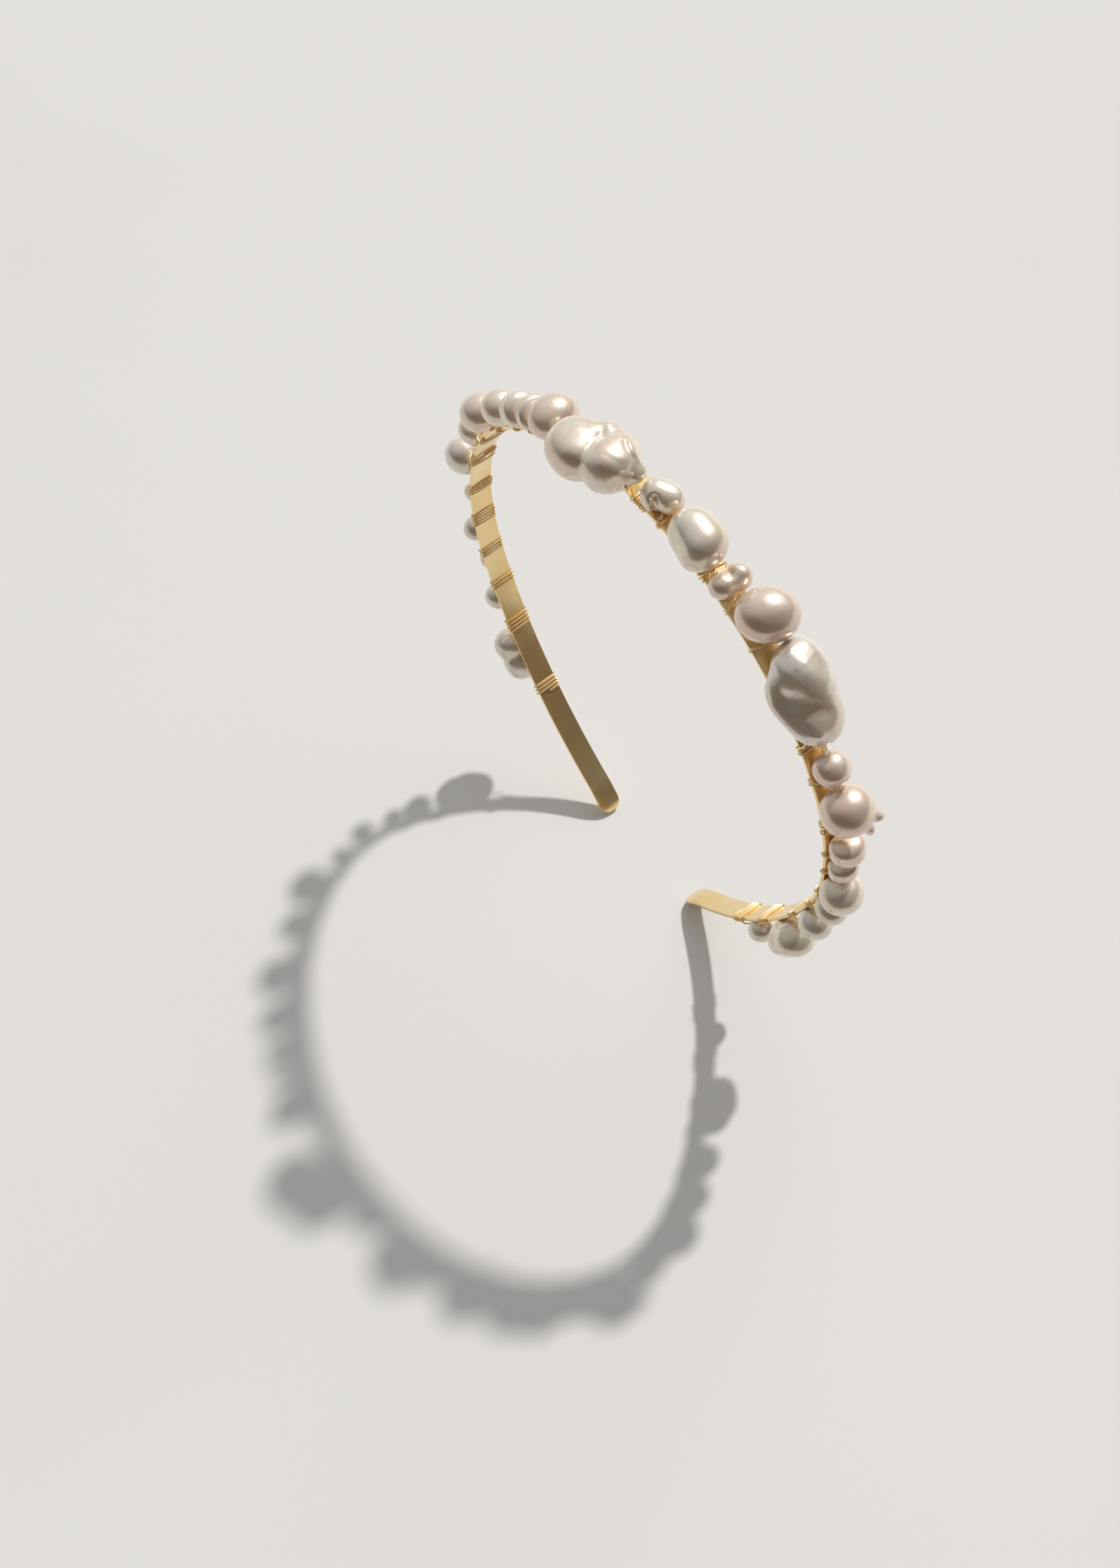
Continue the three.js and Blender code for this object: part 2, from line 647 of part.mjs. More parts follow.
// The least gap between stretches of one wire that lie more than half a turn apart.
function leastGap(points) {
  const turnLength = 2 * (stripWidth + stripThickness);
  const samples = [];
  let length = 0;
  points.slice(1).forEach((point, i) => {
    const from = points[i];
    const step = from.distanceTo(point);
    const count = Math.ceil(step / wireDiameter);
    for (let k = 0; k < count; k++) {
      samples.push({ at: from.clone().lerp(point, k / count), length: length + (step * k) / count });
    }
    length += step;
  });
  let least = Infinity;
  samples.forEach((one, i) => {
    for (let k = i + 1; k < samples.length; k++) {
      if (samples[k].length - one.length < turnLength / 2) continue;
      least = Math.min(least, one.at.distanceTo(samples[k].at) - wireDiameter);
    }
  });
  return least;
}

layOut(leftPearls, -1);
layOut(rightPearls, 1);
const pearlsInOrder = [...leftPearls.toReversed(), ...rightPearls];
pearlsInOrder.forEach((pearl, i) => {
  const next = pearlsInOrder[i + 1];
  if (next) pearl.turnsAfter = pearl.run < 0 ? pearl.turns : next.turns;
  if (pearl === leftPearls[0]) pearl.turnsAfter = crownTurns;
});

const headband = new THREE.Group();
const strip = new THREE.Mesh(buildStrip(), brass);
strip.name = 'strip_band';
headband.add(strip);
pearlsInOrder.forEach((pearl) => headband.add(buildPearl(pearl)));
routeWires(pearlsInOrder).forEach((points, i) => {
  const wire = new THREE.Mesh(wireTube(points), wireGold);
  wire.name = `wire_lacing_${i + 1}`;
  headband.add(wire);
  console.log(`${wire.name}: least gap to itself ${leastGap(points).toFixed(2)} mm`);
});

export default headband;
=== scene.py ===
"""Pearl headband: drilled freshwater pearls laced along a springy brass strip.

Lengths in the tables are millimetres and are turned into metres as the meshes are made. X runs
from the left arm to the right arm, Y across the strip and Z up. The origin is the middle of the
strip's inner face at the crown.
"""

import math

import bpy
import numpy as np
from mathutils import Matrix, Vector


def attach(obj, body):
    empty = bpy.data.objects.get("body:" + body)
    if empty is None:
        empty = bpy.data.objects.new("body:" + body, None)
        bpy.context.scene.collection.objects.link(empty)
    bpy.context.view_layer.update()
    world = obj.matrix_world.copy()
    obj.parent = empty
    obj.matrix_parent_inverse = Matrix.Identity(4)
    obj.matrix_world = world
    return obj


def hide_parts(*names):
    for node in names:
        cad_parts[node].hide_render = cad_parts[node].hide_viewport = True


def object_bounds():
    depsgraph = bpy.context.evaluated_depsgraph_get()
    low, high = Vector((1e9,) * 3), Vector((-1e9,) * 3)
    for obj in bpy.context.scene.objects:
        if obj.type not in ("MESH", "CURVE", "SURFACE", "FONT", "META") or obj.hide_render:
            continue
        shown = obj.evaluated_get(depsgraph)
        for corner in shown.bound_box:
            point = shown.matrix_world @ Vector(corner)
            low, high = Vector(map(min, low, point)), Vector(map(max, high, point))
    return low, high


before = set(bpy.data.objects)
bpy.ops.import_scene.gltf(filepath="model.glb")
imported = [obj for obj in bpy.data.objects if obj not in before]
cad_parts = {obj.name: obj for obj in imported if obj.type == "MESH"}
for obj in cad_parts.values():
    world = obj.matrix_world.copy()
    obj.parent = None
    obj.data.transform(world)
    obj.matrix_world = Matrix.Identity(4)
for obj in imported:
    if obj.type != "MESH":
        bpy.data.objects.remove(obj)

cad_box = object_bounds()
MM = 0.001

# Strip: its stretches are arcs of a length and a radius, from the crown to a tip. A tip thins
# where its width has shrunk to less than one part in TIP_THINNING.
STRIP_WIDTH = 5.8
STRIP_THICKNESS = 0.9
HALF = STRIP_THICKNESS / 2
EDGE_ROUND = 0.17
EDGE_POINTS = 5
RINGS_ON_BODY = 420
RINGS_ON_TIP = 16
FIRST_TIP_ANGLE = 0.06
TIP_THINNING = 6
TIP_LEAST_THICKNESS = 0.35
CROWN_RADIUS = 65.0
SIDE_RADIUS = 61.0
ARM_RADIUS = 122.0
TIP_RADIUS = 28.0
STRETCHES = (
    (math.radians(52.0) * CROWN_RADIUS, CROWN_RADIUS),
    (math.radians(57.5) * SIDE_RADIUS, SIDE_RADIUS),
    (67.0, ARM_RADIUS),
    (9.0, -TIP_RADIUS),
)
HALF_LENGTH = sum(length for length, radius in STRETCHES)

# Wire, wound tight. It crosses from the front edge to the back one in HALF_TURN of a turn, slants
# a little round each edge, and lands on the outer face a step before the next front. Slacks and
# spread are what a hand leaves. Tucks are how far a cut end lies from its first or last edge.
WIRE_RADIUS = 0.2
WIRE_SIDES = 12
HUG = WIRE_RADIUS + 0.01
CORNER_CUT = 0.25 * HUG
PATH_SPACING = 0.16
HALF_TURN = 0.45
EDGE_SLANT = 0.06
LANDING_STEP = 0.12
LOOP_SLACK = 0.22
FACE_SLACK = 0.05
HAND_SPREAD = 0.025
WINDING_SEED = 7
END_TUCK = 0.25
FIRST_END_TUCK = 0.2
LEAD_RISE_SHARE = 0.45
LEAD_STRAIGHT = 0.8
LEAD_STEPS = 5
RUN_HALVINGS = 40
TAIL_RUN = 1.6
TAIL_PITCH = 1.0
LEFT_TAIL, RIGHT_TAIL = 3, 4

# Pearls: the bore's axis lies at a share of the way up from the foot, and its lining has a
# ring of points at each station between its mouths. Folds fade out over a depth.
BORE_RADIUS = 0.42
BORE_LINING_SHARE = 0.96
BORE_SKEW = 0.8
BORE_HEIGHT_SHARE = 0.42
BORE_STATIONS = np.array([0.02, 0.06, 0.2, 0.5, 0.8, 0.94, 0.98])
PEARL_SEAT = 0.05
FOLD_FADE = 4.0
FIRST_SEED = 40
SEEDS_APART = 3
SINES_IN_LUMPS = 7
SEARCH_SHARE = 2.2
SKIN_HALVINGS = 26
MOUTH_CROWDING = 0.06


# Strip path

def centreline(run):
    """Centreline of the strip at signed runs from the crown: x, z and the angle turned through.

    Each stretch is an arc: x grows by R (sin t2 - sin t1) and z by R (cos t2 - cos t1), where
    the angle t grows by arc length over R. The left arm mirrors the right one.
    """
    run = np.asarray(run, dtype=float)
    side = np.where(run < 0, -1.0, 1.0)
    left = np.abs(run)
    x = np.zeros_like(run)
    z = np.full_like(run, HALF)
    turn = np.zeros_like(run)
    for length, radius in STRETCHES:
        part = np.clip(left, 0, length)
        after = turn + part / radius
        x = x + radius * (np.sin(after) - np.sin(turn))
        z = z + radius * (np.cos(after) - np.cos(turn))
        turn = after
        left = left - part
    return side * x, z, side * turn


def on_strip(run, across, out):
    """Points at a run along the strip, a distance across it and a distance out of it."""
    run, across, out = np.broadcast_arrays(*(np.asarray(a, dtype=float) for a in (run, across, out)))
    x, z, turn = centreline(run)
    return np.stack([x + out * np.sin(turn), across, z + out * np.cos(turn)], axis=-1)


def strip_axes(run):
    """Axes along the strip, across it and out of it at one run, as the rows of a 3 x 3 array."""
    turn = float(centreline(run)[2])
    return np.array([
        [math.cos(turn), 0.0, -math.sin(turn)],
        [0.0, 1.0, 0.0],
        [math.sin(turn), 0.0, math.cos(turn)],
    ])


# Meshes

def grid_faces(rows, columns, close_rows):
    """Quads of a grid of points, closed round its columns and, if asked, round its rows."""
    row = np.arange(rows if close_rows else rows - 1)[:, None]
    column = np.arange(columns)[None, :]
    after_row = (row + 1) % rows
    after_column = (column + 1) % columns
    quads = np.stack([
        row * columns + column,
        after_row * columns + column,
        after_row * columns + after_column,
        row * columns + after_column,
    ], axis=-1)
    return quads.reshape(-1, 4)


def signed_volume(points, quads):
    """Six times the volume inside, by summing the determinants of each face's two triangles."""
    a, b, c, d = (points[quads[:, k]] for k in range(4))
    first = np.einsum("ij,ij->i", a, np.cross(b, c)).sum()
    return first + np.einsum("ij,ij->i", a, np.cross(c, d)).sum()


def make_piece(name, points, quads, caps=()):
    """A smooth closed mesh object from points in millimetres, quads and end caps. Its faces are
    turned round where the volume inside comes out negative."""
    if signed_volume(points, quads) < 0:
        quads = quads[:, ::-1]
        caps = [cap[::-1] for cap in caps]
    mesh = bpy.data.meshes.new(name)
    corners = np.concatenate([quads.ravel(), *[np.asarray(cap) for cap in caps]]).astype(np.int32)
    totals = np.array([4] * len(quads) + [len(cap) for cap in caps], dtype=np.int32)
    starts = np.concatenate([[0], np.cumsum(totals)[:-1]]).astype(np.int32)
    mesh.vertices.add(len(points))
    mesh.vertices.foreach_set("co", (points * MM).astype(np.float32).ravel())
    mesh.loops.add(len(corners))
    mesh.loops.foreach_set("vertex_index", corners)
    mesh.polygons.add(len(totals))
    mesh.polygons.foreach_set("loop_start", starts)
    mesh.polygons.foreach_set("loop_total", totals)
    mesh.polygons.foreach_set("use_smooth", np.ones(len(totals), dtype=bool))
    mesh.update(calc_edges=True)
    mesh.validate()
    piece = bpy.data.objects.new(name, mesh)
    bpy.context.scene.collection.objects.link(piece)
    return piece


def finish_piece(piece, material, slot, *nodes):
    """Gives a piece its material and sets it in place of its CAD nodes. The slot is not used."""
    piece.data.materials.append(material)
    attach(piece, "root")
    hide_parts(*nodes)


# Pearl forms

def lobe_field(points, lobe):
    """Distance to an ellipsoid, roughly: with q = p / radii, it is |q| (|q| - 1) / |q / radii|.
    The ellipsoid is turned by swing about Z and then by tip about Y, in degrees."""
    centre, radii, swing, tip = lobe
    cs, sn = math.cos(math.radians(swing)), math.sin(math.radians(swing))
    ct, st = math.cos(math.radians(tip)), math.sin(math.radians(tip))
    turned = np.array([[cs, sn, 0], [-sn, cs, 0], [0, 0, 1]])
    tipped = np.array([[ct, 0, st], [0, 1, 0], [-st, 0, ct]])
    local = (points - np.array(centre)) @ (tipped @ turned).T
    q = local / np.array(radii)
    size = np.linalg.norm(q, axis=-1) + 1e-9
    return size * (size - 1) / (np.linalg.norm(q / np.array(radii), axis=-1) + 1e-9)


def join(a, b, blend):
    """Least of two fields with a fillet: mixed by h and lowered by blend h (1 - h)."""
    h = np.clip(0.5 + 0.5 * (b - a) / blend, 0, 1)
    return b * (1 - h) + a * h - blend * h * (1 - h)


def lumps(points, seed, wavelength, height):
    """Gentle unevenness: a sum of sines along random directions, with random starts."""
    rng = np.random.default_rng(seed)
    total = np.zeros(points.shape[:-1])
    for sine in range(SINES_IN_LUMPS):
        direction = rng.normal(size=3)
        direction /= np.linalg.norm(direction)
        length = wavelength * rng.uniform(0.6, 1.5)
        start = rng.uniform(0, 2 * math.pi)
        total += np.sin(points @ direction * 2 * math.pi / length + start)
    return height * total / SINES_IN_LUMPS


def stroke_field(points, form):
    """Folds and creases: height times exp(-g g / w w), where g is how far beyond the stroke's flat
    half breadth a point lies from its line, as seen along the third growth axis. They fade out on
    the side that faces away."""
    seen = points @ form["growth_axes"].T
    near = np.clip(0.5 + seen[..., 2] / FOLD_FADE, 0, 1)
    total = np.zeros(points.shape[:-1])
    for height, flat, width, *corners in form["strokes"]:
        corners = np.array(corners)
        least = np.full(points.shape[:-1], np.inf)
        for start, stop in zip(corners[:-1], corners[1:]):
            along = stop - start
            share = np.clip((seen[..., :2] - start) @ along / (along @ along), 0, 1)
            gap = seen[..., :2] - start - share[..., None] * along
            least = np.minimum(least, (gap ** 2).sum(axis=-1))
        beyond = np.clip(np.sqrt(least) - flat, 0, None)
        total += height * np.exp(-((beyond / width) ** 2))
    return total * near


def pearl_field(points, form, seed):
    """A pearl's skin is where this is zero: lobes joined, lumps added and folds drawn."""
    first, *others = form["lobes"]
    field = lobe_field(points, first)
    for *lobe, blend in others:
        field = join(field, lobe_field(points, lobe), blend)
    for wavelength, height in form["lumps"]:
        field = field + lumps(points, seed, wavelength, height)
        seed += 1
    if "strokes" in form:
        field = field - stroke_field(points, form)
    return field


def reach(form, seed, centre, directions, far):
    """How far the skin lies from a centre along each direction, found by halving."""
    low = np.zeros(directions.shape[:-1])
    high = np.full(directions.shape[:-1], far)
    for halving in range(SKIN_HALVINGS):
        middle = (low + high) / 2
        outside = pearl_field(centre + directions * middle[..., None], form, seed) > 0
        high = np.where(outside, middle, high)
        low = np.where(outside, low, middle)
    return (low + high) / 2


def drilled_pearl(form, seed, foot, heading, bore_across, around, along):
    """Points of a drilled pearl in its own frame, its faces, the bore's two mouths and its axis.

    Rows run over the outside from one mouth of the bore to the other and come back through the
    bore. On the outside, row v and column u lie in the direction -cos v a + sin v (cos u b +
    sin u c), where a is the bore's axis, at the distance at which the field is zero. Rows lie
    closer together near the mouths.
    """
    axis = np.array([math.cos(heading), -math.sin(heading), 0.0])
    beside = np.array([math.sin(heading), math.cos(heading), 0.0])
    above = np.array([0.0, 0.0, 1.0])
    centre = np.array([0.0, bore_across, -foot * (1 - BORE_HEIGHT_SHARE)])
    far = SEARCH_SHARE * max(form["box"])
    ends = reach(form, seed, centre, np.array([-axis, axis]), far)
    start, stop = (math.asin(BORE_RADIUS / end) for end in ends)
    share = np.linspace(0, 1, along)
    share = share - MOUTH_CROWDING * np.sin(2 * math.pi * share)
    v = (start + (math.pi - start - stop) * share)[:, None]
    u = np.linspace(0, 2 * math.pi, around, endpoint=False)[None, :]
    directions = (
        -np.cos(v)[..., None] * axis
        + (np.sin(v) * np.cos(u))[..., None] * beside
        + (np.sin(v) * np.sin(u))[..., None] * above
    )
    distance = reach(form, seed, centre, directions, far)
    outside = centre + directions * distance[..., None]
    ring = (np.cos(u)[..., None] * beside + np.sin(u)[..., None] * above)[0]
    entry_depth = (outside[0] - centre) @ axis
    exit_depth = (outside[-1] - centre) @ axis
    back = BORE_STATIONS[:, None]
    depth = exit_depth * (1 - back) + entry_depth * back
    inside = centre + depth[..., None] * axis + ring * BORE_RADIUS * BORE_LINING_SHARE
    points = np.concatenate([outside, inside])
    mouths = centre - axis * ends[0], centre + axis * ends[1]
    return points.reshape(-1, 3), grid_faces(len(points), around, True), mouths, axis


# Forms. Lobes are centre, half lengths, swing, tip and, after the first lobe, the width of the
# fillet with those before it. Lumps are wavelength and height. Box is length, depth and height.
ROUND_LUMP = 0.12
BUTTON_LUMP = 0.1
BAROQUE_LUMP = 0.3
FINE_LUMP_SHARE = 0.35
FINE_BAROQUE_SHARE = 0.4


def oval(long, deep, tall):
    """One lobe, a little uneven."""
    return dict(
        box=(long, deep, tall),
        lobes=[((0, 0, 0), (long / 2, deep / 2, tall / 2), 0, 0)],
        lumps=[(0.9 * long, ROUND_LUMP), (0.45 * long, FINE_LUMP_SHARE * ROUND_LUMP)],
    )


def button(long, deep, tall):
    """Two flattened lobes side by side, so that the ends are flat."""
    return dict(
        box=(long, deep, tall),
        lobes=[
            ((-0.16 * long, 0, 0), (0.34 * long, 0.49 * deep, 0.49 * tall), 0, 0),
            ((0.16 * long, 0, 0), (0.34 * long, 0.48 * deep, 0.49 * tall), 0, 0, 0.22 * long),
        ],
        lumps=[(0.9 * deep, BUTTON_LUMP), (0.4 * deep, FINE_LUMP_SHARE * BUTTON_LUMP)],
    )


def drop(long, deep, tall, spin):
    """A ball that narrows to a smaller one, pointed along the spin in degrees."""
    cs, sn = math.cos(math.radians(spin)), math.sin(math.radians(spin))
    return dict(
        box=(long, deep, tall),
        lobes=[
            ((-0.08 * long * cs, -0.08 * deep * sn, 0),
             (0.43 * long, 0.43 * deep, 0.49 * tall), 0, 0),
            ((0.2 * long * cs, 0.2 * deep * sn, 0),
             (0.3 * long, 0.3 * deep, 0.36 * tall), 0, 0, 0.3 * long),
        ],
        lumps=[(0.9 * long, ROUND_LUMP), (0.45 * long, FINE_LUMP_SHARE * ROUND_LUMP)],
    )


def baroque(long, deep, tall, flip):
    """A big lumpy pearl: three uneven lobes with hollows between them. Flip is 1, or -1 for the
    other way round along its length."""
    return dict(
        box=(long, deep, tall),
        lobes=[
            ((-0.14 * long * flip, 0.02 * deep, 0), (0.36 * long, 0.47 * deep, 0.47 * tall), 0, 0),
            ((0.18 * long * flip, -0.04 * deep, 0.03 * tall),
             (0.31 * long, 0.43 * deep, 0.44 * tall), 20, 0, 0.8),
            ((0.05 * long * flip, 0.2 * deep, 0.1 * tall),
             (0.26 * long, 0.26 * deep, 0.36 * tall), 0, 0, 0.9),
        ],
        lumps=[(0.7 * long, BAROQUE_LUMP), (0.3 * long, FINE_BAROQUE_SHARE * BAROQUE_LUMP)],
    )


# Forms with folds. Growth axes are the rows right, up and near of the side the folds lie on.
# Strokes are height, flat half breadth, width of the slope beyond it, and the corners of their
# line along the first two growth axes.
TWIN = dict(
    box=(21.4, 15.6, 13.0),
    lobes=[
        ((-3.15, -1.78, 0.0), (6.8, 6.7, 6.5), 0, 0),
        ((4.6, 0.85, -0.7), (5.6, 6.7, 6.2), 0, 0, 0.6),
        ((-0.4, 3.95, 0.8), (3.9, 3.6, 3.6), 0, 0, 1.6),
        ((3.2, 4.6, 0.1), (3.4, 3.2, 3.1), 0, 0, 1.6),
        ((9.1, 3.3, -1.7), (2.4, 2.3, 2.2), 0, 0, 1.5),
    ],
    lumps=[(12.0, 0.25), (5.0, 0.05)],
    growth_axes=np.array([[0.601, 0.791, -0.117], [-0.49, 0.479, 0.728], [0.632, -0.38, 0.675]]),
    strokes=[
        (-0.8, 0.6, 2.6, (-4.2, 4.6), (-2.8, 5.6)),
        (0.5, 0.5, 2.6, (-5.0, -0.6), (-4.0, -1.4)),
        (0.55, 0.5, 2.4, (2.2, -2.4), (4.0, -3.0)),
        (-0.4, 0.2, 1.6, (3.2, 2.4), (5.4, 1.2)),
        (-0.2, 0.2, 1.2, (-1.0, 1.5), (0.6, 3.4)),
        (0.22, 0.1, 0.8, (3.0, 5.4), (2.9, 3.6)),
        (0.2, 0.1, 0.9, (-0.3, 5.9), (0.3, 4.2)),
        (-0.16, 0.0, 0.8, (2.2, -0.6), (5.3, -2.5)),
        (-0.22, 0.0, 0.6, (6.1, 1.9), (6.7, 0.3), (7.7, -1.2)),
        (0.18, 0.1, 0.6, (7.1, 1.7), (8.0, 0.0), (8.9, -1.5)),
        (-0.22, 0.0, 0.8, (4.3, -6.0), (4.5, -7.4)),
    ],
)

NOTCHED = dict(
    box=(9.0, 9.0, 7.8),
    lobes=[
        ((-1.0, -0.6, 0), (3.5, 3.6, 3.7), 0, 0),
        ((1.3, 1.0, -0.1), (3.0, 3.0, 3.2), 0, 0, 1.4),
    ],
    lumps=[(8.0, 0.12)],
    growth_axes=np.array([[0.625, 0.779, 0.047], [-0.65, 0.486, 0.584], [0.432, -0.395, 0.81]]),
    strokes=[
        (-1.2, 0.1, 0.6, (-1.75, -0.2), (-1.6, -1.8), (-1.3, -4.2)),
        (-0.8, 0.2, 0.8, (-1.2, -2.4), (-0.6, -4.4)),
    ],
)

EGG = dict(
    box=(13.4, 11.6, 11.6),
    lobes=[
        ((-2.0, 0.4, 0), (4.5, 5.0, 5.3), 0, 0),
        ((2.2, 0.1, 0), (4.5, 5.6, 5.7), 0, 0, 3.0),
    ],
    lumps=[(10.0, 0.14)],
    growth_axes=np.array([[0.611, 0.774, 0.167], [-0.747, 0.493, 0.446], [0.263, -0.397, 0.879]]),
    strokes=[
        (-0.8, 0.2, 2.4, (-5.8, 0.4), (-4.6, -2.6)),
    ],
)

FOLDED = dict(
    box=(23.4, 14.6, 10.2),
    lobes=[
        ((2.7, 0.1, -0.2), (8.6, 6.6, 5.0), 6, 0),
        ((-3.4, 1.2, 0.0), (7.4, 6.7, 5.1), 0, 0, 1.0),
        ((-1.2, -3.5, -1.4), (5.6, 3.7, 3.3), 0, 0, 1.8),
        ((-7.6, 3.2, -0.8), (3.9, 3.3, 3.8), 0, 0, 1.8),
    ],
    lumps=[(9.0, 0.14)],
    growth_axes=np.array([[0.419, 0.757, 0.502], [-0.853, 0.517, -0.067], [-0.31, -0.4, 0.863]]),
    strokes=[
        (0.6, 1.5, 1.9, (-4.2, 7.4), (-2.2, 5.8), (0.5, 3.5), (2.4, 1.6), (4.2, 1.2)),
        (0.4, 0.0, 2.2, (-3.0, 8.6), (0.4, 4.6), (3.2, 1.8)),
        (-0.6, 0.1, 2.0, (-0.8, -1.8), (0.8, -2.6), (3.6, -3.0)),
        (-0.85, 0.3, 2.2, (-4.3, -1.2), (-3.2, -3.4), (-1.2, -5.6)),
        (0.18, 0.0, 1.2, (-5.0, 2.6), (-3.4, 1.2)),
        (0.35, 0.3, 1.0, (-6.7, 1.3), (-5.8, -2.1), (-3.6, -5.4), (-0.4, -7.9), (2.7, -9.1)),
        (0.25, 0.2, 1.1, (0.3, -5.9), (3.0, -7.6)),
        (0.07, 0.0, 0.4, (1.7, 8.8), (0.0, 6.4)),
        (0.07, 0.0, 0.4, (-1.6, 7.1), (-1.7, 5.2)),
        (0.15, 0.0, 0.7, (-2.8, 10.3), (-3.3, 8.1)),
        (-0.3, 0.0, 0.6, (-2.2, 12.2), (-3.6, 10.3), (-5.3, 8.4)),
    ],
)

ACROSS = dict(
    box=(11.6, 14.5, 11.8),
    lobes=[((0, 0, 0), (6.85, 5.8, 5.8), 59, 0)],
    lumps=[(12.0, 0.12), (5.0, 0.03)],
)

BEAN = dict(
    box=(6.8, 9.8, 7.8),
    lobes=[
        ((-0.1, 1.6, 0.3), (3.0, 3.1, 3.4), 0, 0),
        ((-0.3, -1.7, -0.3), (2.9, 3.1, 3.2), 0, 0, 1.0),
    ],
    lumps=[(7.0, 0.1), (3.0, 0.03)],
    growth_axes=np.array([[0.579, 0.768, 0.273], [-0.809, 0.5, 0.31], [0.101, -0.401, 0.911]]),
    strokes=[
        (-0.22, 0.0, 0.9, (0.2, 1.8), (3.0, 0.2)),
        (-0.3, 0.0, 1.0, (-1.6, 3.2), (-0.4, 1.6)),
    ],
)

CUSPED = dict(
    box=(11.7, 12.0, 11.9),
    lobes=[
        ((0, 0, 0), (5.7, 5.9, 5.8), 0, 0),
        ((2.3, 4.3, 3.7), (1.1, 1.5, 1.5), 0, 0, 0.6),
        ((4.4, 1.8, 3.6), (1.3, 1.1, 1.3), 0, 0, 0.6),
    ],
    lumps=[(9.0, 0.1), (3.6, 0.03)],
)


# Pearls from the left tip to the right one: node, form, run along the strip, lean across it, the
# bore's place across it, turn of the bore in degrees or None for a slight skew, and slot.
PEARLS = (
    ("pearl_left_13_baroque", baroque(15.0, 11.0, 9.8, 1), -148.266, -1.2, 0, None, "pearl_grey"),
    ("pearl_left_12_round", oval(6.6, 6.6, 6.4), -131.254, -1.2, 0, None, "pearl_grey"),
    ("pearl_left_11_seed", oval(4.8, 5.0, 4.8), -120.406, 0, 0, None, "pearl_ivory"),
    ("pearl_left_10_drop", drop(6.0, 6.2, 6.0, 20), -110.421, -1.4, 0, None, "pearl_grey"),
    ("pearl_left_09_seed", oval(4.8, 5.0, 4.8), -98.551, 0, 0, None, "pearl_ivory"),
    ("pearl_left_08_oval", oval(9.6, 8.8, 9.0), -85.999, -1.4, 0, None, "pearl_grey"),
    ("pearl_left_07_drop", drop(7.8, 8.0, 7.6, 150), -73.477, -0.6, 0, None, "pearl_ivory"),
    ("pearl_left_06_round", oval(9.6, 9.6, 9.2), -59.89, -2.4, -0.8, None, "pearl_rose"),
    ("pearl_left_05_round", oval(8.6, 8.8, 8.4), -48.895, -2.2, -0.8, None, "pearl_ivory"),
    ("pearl_left_04_button", button(6.0, 8.6, 8.0), -40.253, -2.2, -0.8, None, "pearl_ivory"),
    ("pearl_left_03_button", button(3.8, 8.4, 7.8), -34.289, -2.0, -0.6, None, "pearl_ivory"),
    ("pearl_left_02_oval", oval(10.0, 11.6, 9.6), -26.45, -1.8, 0, None, "pearl_rose"),
    ("pearl_left_01_twin", TWIN, -8.576, -4.8, -1.8, 16, "pearl_ivory"),
    ("pearl_right_01_notched", NOTCHED, 6.166, 0, 0, 40, "pearl_ivory"),
    ("pearl_right_02_egg", EGG, 17.431, -1.6, 0, None, "pearl_ivory"),
    ("pearl_right_03_drop", BEAN, 27.323, 0, 0, None, "pearl_rose"),
    ("pearl_right_04_oval", ACROSS, 36.123, 1.6, 0, None, "pearl_rose"),
    ("pearl_right_05_folded", FOLDED, 52.545, 0.4, 0, 16, "pearl_grey"),
    ("pearl_right_06_round", oval(7.9, 8.1, 7.9), 68.912, 0.2, 0, None, "pearl_rose"),
    ("pearl_right_07_cusped", CUSPED, 78.282, 0, 0, None, "pearl_rose"),
    ("pearl_right_08_button", button(6.8, 8.2, 7.4), 90.818, 0, 0, None, "pearl_rose"),
    ("pearl_right_09_button", button(5.6, 7.0, 6.2), 97.496, -0.6, 0, None, "pearl_rose"),
    ("pearl_right_10_round", oval(9.2, 10.0, 9.4), 105.116, -1.6, 0, None, "pearl_ivory"),
    ("pearl_right_11_drop", drop(7.6, 8.0, 7.6, 40), 115.445, -1.2, 0, None, "pearl_grey"),
    ("pearl_right_12_round", oval(7.8, 8.2, 7.8), 126.038, -2.0, -0.8, None, "pearl_grey"),
    ("pearl_right_13_baroque", baroque(13.2, 11.6, 10.0, -1), 141.795, -2.6, -0.8, None, "pearl_ivory"),
    ("pearl_right_14_round", oval(6.2, 6.4, 6.2), 159.535, -1.6, -0.6, None, "pearl_grey"),
)

# Faces round and along a pearl's skin, for pearls longer than so many millimetres
FINENESS = ((12, 192, 150), (7, 128, 96), (0, 96, 72))


def build_pearl(index, row):
    """Makes one pearl on its seat and returns its bore's two mouths and heading."""
    node, form, run, lean, bore_at, bore_turn, slot = row
    long = form["box"][0]
    seed = FIRST_SEED + SEEDS_APART * index
    straight_down = np.array([[0.0, 0.0, -1.0]])
    depth = reach(form, seed, np.zeros(3), straight_down, max(form["box"]))[0]
    heading = math.atan2(2 * BORE_SKEW, long) if bore_turn is None else math.radians(bore_turn)
    around, along = next(counts for least, *counts in FINENESS if long > least)
    points, quads, mouths, axis = drilled_pearl(form, seed, depth, heading, bore_at - lean, around, along)
    axes = strip_axes(run)
    seat = on_strip(run, lean, HALF + PEARL_SEAT - points[:, 2].min())
    piece = make_piece(node.replace("pearl_", "drilled_pearl_"), points @ axes + seat, quads)
    finish_piece(piece, NACRE[slot], slot, node)
    return dict(enter=mouths[0] @ axes + seat, leave=mouths[1] @ axes + seat, heading=axis @ axes)


# Materials

